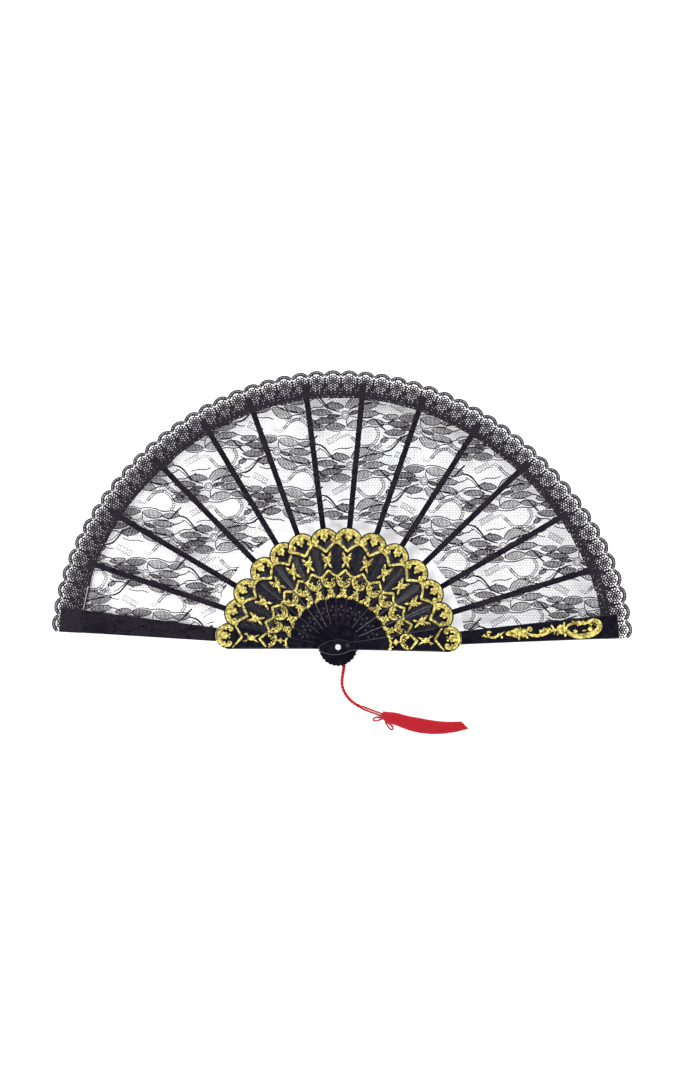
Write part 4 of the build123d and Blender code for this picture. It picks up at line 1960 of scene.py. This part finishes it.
@dataclass(frozen=True)
class Cord:
    """The red cord of two twisted strands, from the eye round the rivet to the tassel.

    Attributes:
        diameter: width of the twisted cord; not used.
        strand: radius of one strand.
        lay: length of one turn of the twist.
        sway: how far each strand twists to the side of the cord's middle line.
        rise: how far it twists above and below it.
        parting: how far the strands lie from the middle line where they are apart.
        parting_start: share of the length where they begin to part.
        parting_length: share of the length over which they part.
        taper: the strands' last radius, as a share of their first.
        route: the cord's line, from its eye to the tassel and on inside its head.
    """

    diameter: float = 2.0
    strand: float = 0.78
    lay: float = 5.2
    sway: float = 0.58
    rise: float = 0.04
    parting: float = 0.95
    parting_start: float = 0.58
    parting_length: float = 0.08
    taper: float = 0.62
    route: tuple[Knot, ...] = (
        (0.9, -2.75, 1.72), (3.3, -8.4, 1.35), (4.7, -14.4, 0.86), (3.5, -21.2, 0.82), (2.5, -27.6, 0.82),
        (4.3, -34.0, 0.82), (8.4, -39.9, 0.82), (14.4, -44.3, 0.82), (21.4, -47.2, 0.82), (29.6, -50.2, 1.1),
        (36.6, -52.4, 2.3), (44.0, -54.2, 2.6),
    )

    def build(self, palette: Palette) -> tuple[Object, list[Vector]]:
        """Make the cord's two strands along its route.

        Args:
            palette: where its finish comes from.

        Returns:
            The cord and the points of its middle line.
        """
        middle = follow(self.route)
        walked, lengths = 0.0, [0.0]
        for before, after in zip(middle, middle[1:]):
            walked += (after - before).length
            lengths.append(walked)
        strands = []
        for phase in (0.0, math.pi):
            strand = []
            for number, point in enumerate(middle):
                before, after = middle[max(0, number - 1)], middle[min(len(middle) - 1, number + 1)]
                along = (after - before).normalized()
                sideways = along.cross(Vector((0, 0, 1))).normalized()
                share = lengths[number] / walked
                angle = phase + 2 * math.pi * lengths[number] / (self.lay * MM)
                untwist = min(1.0, max(0.0, (share - self.parting_start) / self.parting_length))
                twisted = Vector((self.sway * math.cos(angle), self.rise * math.sin(angle)))
                parallel = Vector((self.parting if phase == 0 else -self.parting, 0))
                turn = twisted.lerp(parallel, untwist)
                offset = sideways * turn.x + Vector((0, 0, 1)) * turn.y
                strand.append(point + offset * MM)
            strands.append(strand)
        radii = (self.strand, self.strand, self.strand * self.taper)
        cord = rods("cord_strands", strands, radii, corners=2, kind="POLY")
        smooth(cord, 80)
        palette.dress(cord, Finish.CORD)
        return cord, middle

    def eye(self, palette: Palette) -> Object:
        """Make the loop of cord that goes round the rivet under the rear guard.

        Args:
            palette: where the finish comes from.

        Returns:
            The loop.
        """
        low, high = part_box("cord_eye")
        height = (low.z + high.z) / 2
        paths = []
        for phase in (0.0, math.pi):
            path = []
            for step in range(41):
                turn = 2 * math.pi * step / 40
                twist = phase + 5 * turn
                radius = (1.93 + 0.34 * math.cos(twist)) * MM
                path.append(Vector((radius * math.cos(turn), radius * math.sin(turn),
                                    height + 0.30 * math.sin(twist) * MM)))
            paths.append(path)
        eye = rods("cord_loop", paths, (0.40, 0.40, 0.40), corners=2, kind="POLY")
        smooth(eye, 80)
        palette.dress(eye, Finish.CORD)
        return eye


@dataclass(frozen=True)
class Tassel:
    """The tassel: a bound head, a long skirt of threads, and two loose loops.

    Attributes:
        spine: middle line of the skirt, with its half width and height at each point.
        threads: threads in the skirt's outer layer.
        base: height of its underside.
    """

    spine: tuple[tuple[float, float, float, float], ...] = (
        (31.6, -50.8, 2.2, 4.0), (35.0, -52.0, 3.3, 4.8), (38.6, -53.2, 3.7, 5.2), (42.6, -53.6, 4.5, 5.3),
        (47.0, -55.6, 4.3, 5.0), (53.0, -57.4, 5.0, 5.0), (61.8, -59.5, 5.5, 4.9), (72.0, -60.8, 4.8, 4.5),
        (81.0, -60.8, 4.2, 3.8), (89.6, -60.2, 3.4, 3.0), (96.9, -58.6, 3.0, 2.2),
    )
    threads: int = 300
    base: float = 0.12

    def section(self, share: float) -> tuple[Vector, Vector, float, float]:
        """Middle, sideways direction, half width and height of the skirt at a share of its length.

        Args:
            share: how far along the skirt, from 0 to 1.

        Returns:
            The middle, the sideways direction, and the half width and height in millimetres.
        """
        place = share * (len(self.spine) - 1)
        index = min(len(self.spine) - 2, int(place))
        rest = place - index
        first, second = self.spine[index], self.spine[index + 1]
        x, y, half, height = [a + (b - a) * rest for a, b in zip(first, second)]
        before, after = self.spine[max(0, index - 1)], self.spine[min(len(self.spine) - 1, index + 2)]
        along = Vector((after[0] - before[0], after[1] - before[1], 0)).normalized()
        return Vector((x, y, 0)), Vector((-along.y, along.x, 0)), half, height

    def point(self, share: float, turn: float, fill: float) -> Vector:
        """A point in the skirt at a share of its length, a turn about its line and a share of its girth.

        Args:
            share: how far along the skirt, from 0 to 1.
            turn: turn about its line, in radians.
            fill: how far out, as a share of its girth.

        Returns:
            The point.
        """
        middle, sideways, half, height = self.section(share)
        across = math.cos(turn) * fill * half
        up = self.base + height / 2 * (1 + math.sin(turn) * fill * 0.96)
        return (middle + sideways * across + Vector((0, 0, up))) * MM

    def skirt(self) -> Object:
        """Make the skirt: a full body under a layer of separate wandering threads.

        Returns:
            The skirt.
        """
        dice = random.Random(5)
        paths = []
        for _ in range(self.threads):
            turn = dice.uniform(-0.35, math.pi + 0.35)
            fill = 0.94 + dice.uniform(-0.08, 0.09)
            drift = dice.uniform(-0.3, 0.3)
            end = 1 - 0.022 * dice.random() - 0.055 * (1 + math.cos(turn)) / 2
            wave, beat = dice.uniform(0, 0.05), dice.uniform(1.5, 4)
            path = []
            for step in range(12):
                share = 0.03 + (end - 0.03) * step / 11
                angle = turn + drift * share + wave * math.sin(beat * 6.3 * share)
                path.append(self.point(share, angle, fill))
            paths.append(path)
        threads = rods("skirt_threads", paths, (0.24, 0.26, 0.2), steps=1)
        bpy.ops.mesh.primitive_grid_add(x_subdivisions=40, y_subdivisions=28, size=1)
        body = bpy.context.view_layer.objects.active
        for vertex in body.data.vertices:
            share, around = vertex.co.x + 0.5, vertex.co.y + 0.5
            close = min(1.0, min(share, 1 - share) * 30)
            ridge = 1 + 0.03 * math.sin(around * 2 * math.pi * 26 + 3 * share)
            slant = 0.055 * (1 + math.cos(2 * math.pi * around)) / 2 * share
            vertex.co = self.point(0.015 + (0.955 - slant) * share, 2 * math.pi * around, 0.90 * ridge * close)
        edit(body)
        bpy.ops.mesh.remove_doubles(threshold=0.02 * MM)
        bpy.ops.mesh.normals_make_consistent(inside=False)
        leave_edit()
        skirt = join("tassel_threads", [body, threads])
        smooth(skirt, 70)
        return skirt

    def binding(self) -> Object:
        """Make the thread wound round the tassel's head.

        Returns:
            The binding.
        """
        path = []
        turns, per_turn = 5, 24
        for step in range(turns * per_turn + 1):
            share = 0.115 + 0.075 * step / (turns * per_turn)
            turn = 2 * math.pi * step / per_turn
            path.append(self.point(share, turn, 1.0))
        binding = rods("head_binding", [path], (0.26, 0.26, 0.26), corners=1, kind="POLY")
        smooth(binding, 80)
        return binding

    def loops(self) -> Object:
        """Make the two loose loops of thread beside the head.

        Returns:
            The loops.
        """
        paths = []
        for (x, y), length, half, degrees in (((33.4, -53.8), 7.4, 1.35, 188), ((35.2, -56.0), 8.6, 1.3, -48)):
            path = []
            for along, across in ((0.0, 0.1), (0.3, 0.75), (0.65, 1.0), (0.92, 0.8), (1.0, 0.0), (0.92, -0.8),
                                  (0.65, -1.0), (0.3, -0.75), (0.0, -0.1)):
                px, py = turned(x, y, degrees, along * length, across * half)
                path.append(Vector((px, py, 0.55 + 0.5 * (1 - along))) * MM)
            paths.append(path)
        loops = rods("thread_loops", paths, (0.58, 0.58, 0.58), corners=2, steps=4)
        smooth(loops, 80)
        return loops

    def build(self, palette: Palette) -> dict[str, Object]:
        """Make and dress the tassel's pieces.

        Args:
            palette: where the finishes come from.

        Returns:
            The pieces by name.
        """
        pieces = {"skirt": self.skirt(), "binding": self.binding(), "loops": self.loops()}
        palette.dress(pieces["skirt"], Finish.TASSEL)
        palette.dress(pieces["binding"], Finish.TASSEL)
        palette.dress(pieces["loops"], Finish.CORD)
        return pieces


def hang_tassel(palette: Palette) -> None:
    """Args:
        palette: where the finishes come from.
    """
    cord_design = Cord()
    cord, middle = cord_design.build(palette)
    eye = cord_design.eye(palette)
    tassel = Tassel().build(palette)
    for piece, slot in (
        (cord, "cord_thread"), (eye, "cord_thread"), (tassel["skirt"], "tassel_thread"),
        (tassel["binding"], "tassel_thread"), (tassel["loops"], "cord_thread"),
    ):
        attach(piece, "tassel_cord")
    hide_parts("cord")
    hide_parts("cord_eye")
    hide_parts("tassel_skirt")
    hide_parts("tassel_head")
    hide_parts("knot_loops")


# ---------------------------------------------------------------------------------------------
# Studio
# ---------------------------------------------------------------------------------------------


@dataclass(frozen=True)
class Studio:
    """Pale floor, soft light from all round, and a camera straight above the fan.

    Attributes:
        view_centre: the point that the camera looks at.
        view_height: height of the frame on the fan.
        lens: the camera's focal length.
        sensor: width of the camera's sensor.
        floor_size: side of the floor, in metres.
        floor_gap: how far it lies under the fan's lowest face, in metres.
        lamp_power: power of each soft lamp, in watts.
        lamp_distance: how far the lamps hang from what they light, in metres.
        lamp_size: side of each lamp, in metres.
        lamp_aim: how far up the fan, along +Y, the lamps point, in metres.
        lamp_places: direction and elevation of each lamp in degrees, and its share of the power.
        clip_end: how far the camera sees, in metres.
    """

    view_centre: Point = (1.8, 79.4)
    view_height: float = 801.4
    lens: float = 85.0
    sensor: float = 36.0
    floor_size: float = 6.0
    floor_gap: float = 0.0002
    lamp_power: float = 12.0
    lamp_distance: float = 1.8
    lamp_size: float = 0.7
    lamp_aim: float = 0.08
    lamp_places: tuple[Knot, ...] = ((118, 52, 1.25), (30, 48, 0.9), (-60, 46, 0.8), (205, 46, 1.05))
    clip_end: float = 20.0

    def floor(self, palette: Palette) -> None:
        """Lay the floor just under the fan's lowest face.

        Args:
            palette: where the finish comes from.
        """
        bpy.ops.mesh.primitive_plane_add(size=self.floor_size, location=(0, 0, -self.floor_gap))
        floor = bpy.context.view_layer.objects.active
        floor.name = "floor"
        bpy.ops.object.transform_apply(location=True)
        edit(floor)
        bpy.ops.mesh.subdivide(number_cuts=2)
        leave_edit()
        palette.dress(floor, Finish.FLOOR)

    def lamps(self) -> None:
        """Hang four large soft lamps round the fan."""
        aim = Vector((0, self.lamp_aim, 0))
        for number, (azimuth, elevation, share) in enumerate(self.lamp_places):
            light = bpy.data.lights.new(f"softbox_{number}", "AREA")
            light.energy = self.lamp_power * share
            light.size = self.lamp_size
            lamp = add_object(f"softbox_{number}", light)
            up = math.radians(elevation)
            reach = self.lamp_distance * math.cos(up)
            turn = math.radians(azimuth)
            height = self.lamp_distance * math.sin(up)
            lamp.location = (reach * math.cos(turn), self.lamp_aim + reach * math.sin(turn), height)
            towards = aim - lamp.location
            lamp.rotation_euler = towards.to_track_quat("-Z", "Y").to_euler()

    def surroundings(self) -> None:
        """Make a pale room with a ring of light high on its walls, and a dim ceiling."""
        world = bpy.data.worlds.new("pale_room")
        world.use_nodes = True
        world.node_tree.nodes.clear()
        graph = Graph(world.node_tree)
        up = graph.add("SeparateXYZ", {0: graph.add("TexCoord").outputs["Generated"]}).outputs["Z"]
        lower = graph.mix(graph.ramp(up, 0.42, 0.56), (0.62, 0.63, 0.66, 1), (2.5, 2.5, 2.55, 1))
        tone = graph.mix(graph.ramp(up, 0.74, 0.86), lower, (0.05, 0.05, 0.065, 1))
        background = graph.add("Background", {"Color": tone, "Strength": 1.0})
        graph.add("OutputWorld", {"Surface": background.outputs[0]})
        bpy.context.scene.world = world
        bpy.context.scene.view_settings.view_transform = "Standard"

    def camera(self) -> None:
        """Hang the camera above the fan, looking straight down."""
        data = bpy.data.cameras.new("camera")
        data.lens = self.lens
        data.sensor_width = self.sensor
        data.clip_end = self.clip_end
        camera = add_object("camera", data)
        distance = self.view_height * MM * self.lens / self.sensor
        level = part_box("front_guard")[0].z
        camera.location = (self.view_centre[0] * MM, self.view_centre[1] * MM, level + distance)
        bpy.context.scene.camera = camera

    def build(self, palette: Palette) -> None:
        """Set up the whole studio.

        Args:
            palette: where the finish comes from.
        """
        self.floor(palette)
        self.lamps()
        self.surroundings()
        self.camera()


def main() -> None:
    """Build the fan's looks, one sub-assembly after another."""
    logging.basicConfig(level=logging.INFO, format="%(name)s: %(message)s")
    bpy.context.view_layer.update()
    fan = FanFrame()
    palette = Palette()
    Studio().build(palette)
    hang_tassel(palette)
    for name, node in frame["nodes"].items():
        if "guard" in name:
            palette.redress(node, Finish.GUARD)
        elif name.startswith("stick"):
            palette.redress(node, Finish.STICK)
        elif name.startswith("rivet"):
            palette.redress(node, Finish.NICKEL)
    Gorge(fan, palette).build()
    Leaf(fan, palette).build()


if __name__ == "__main__":
    main()
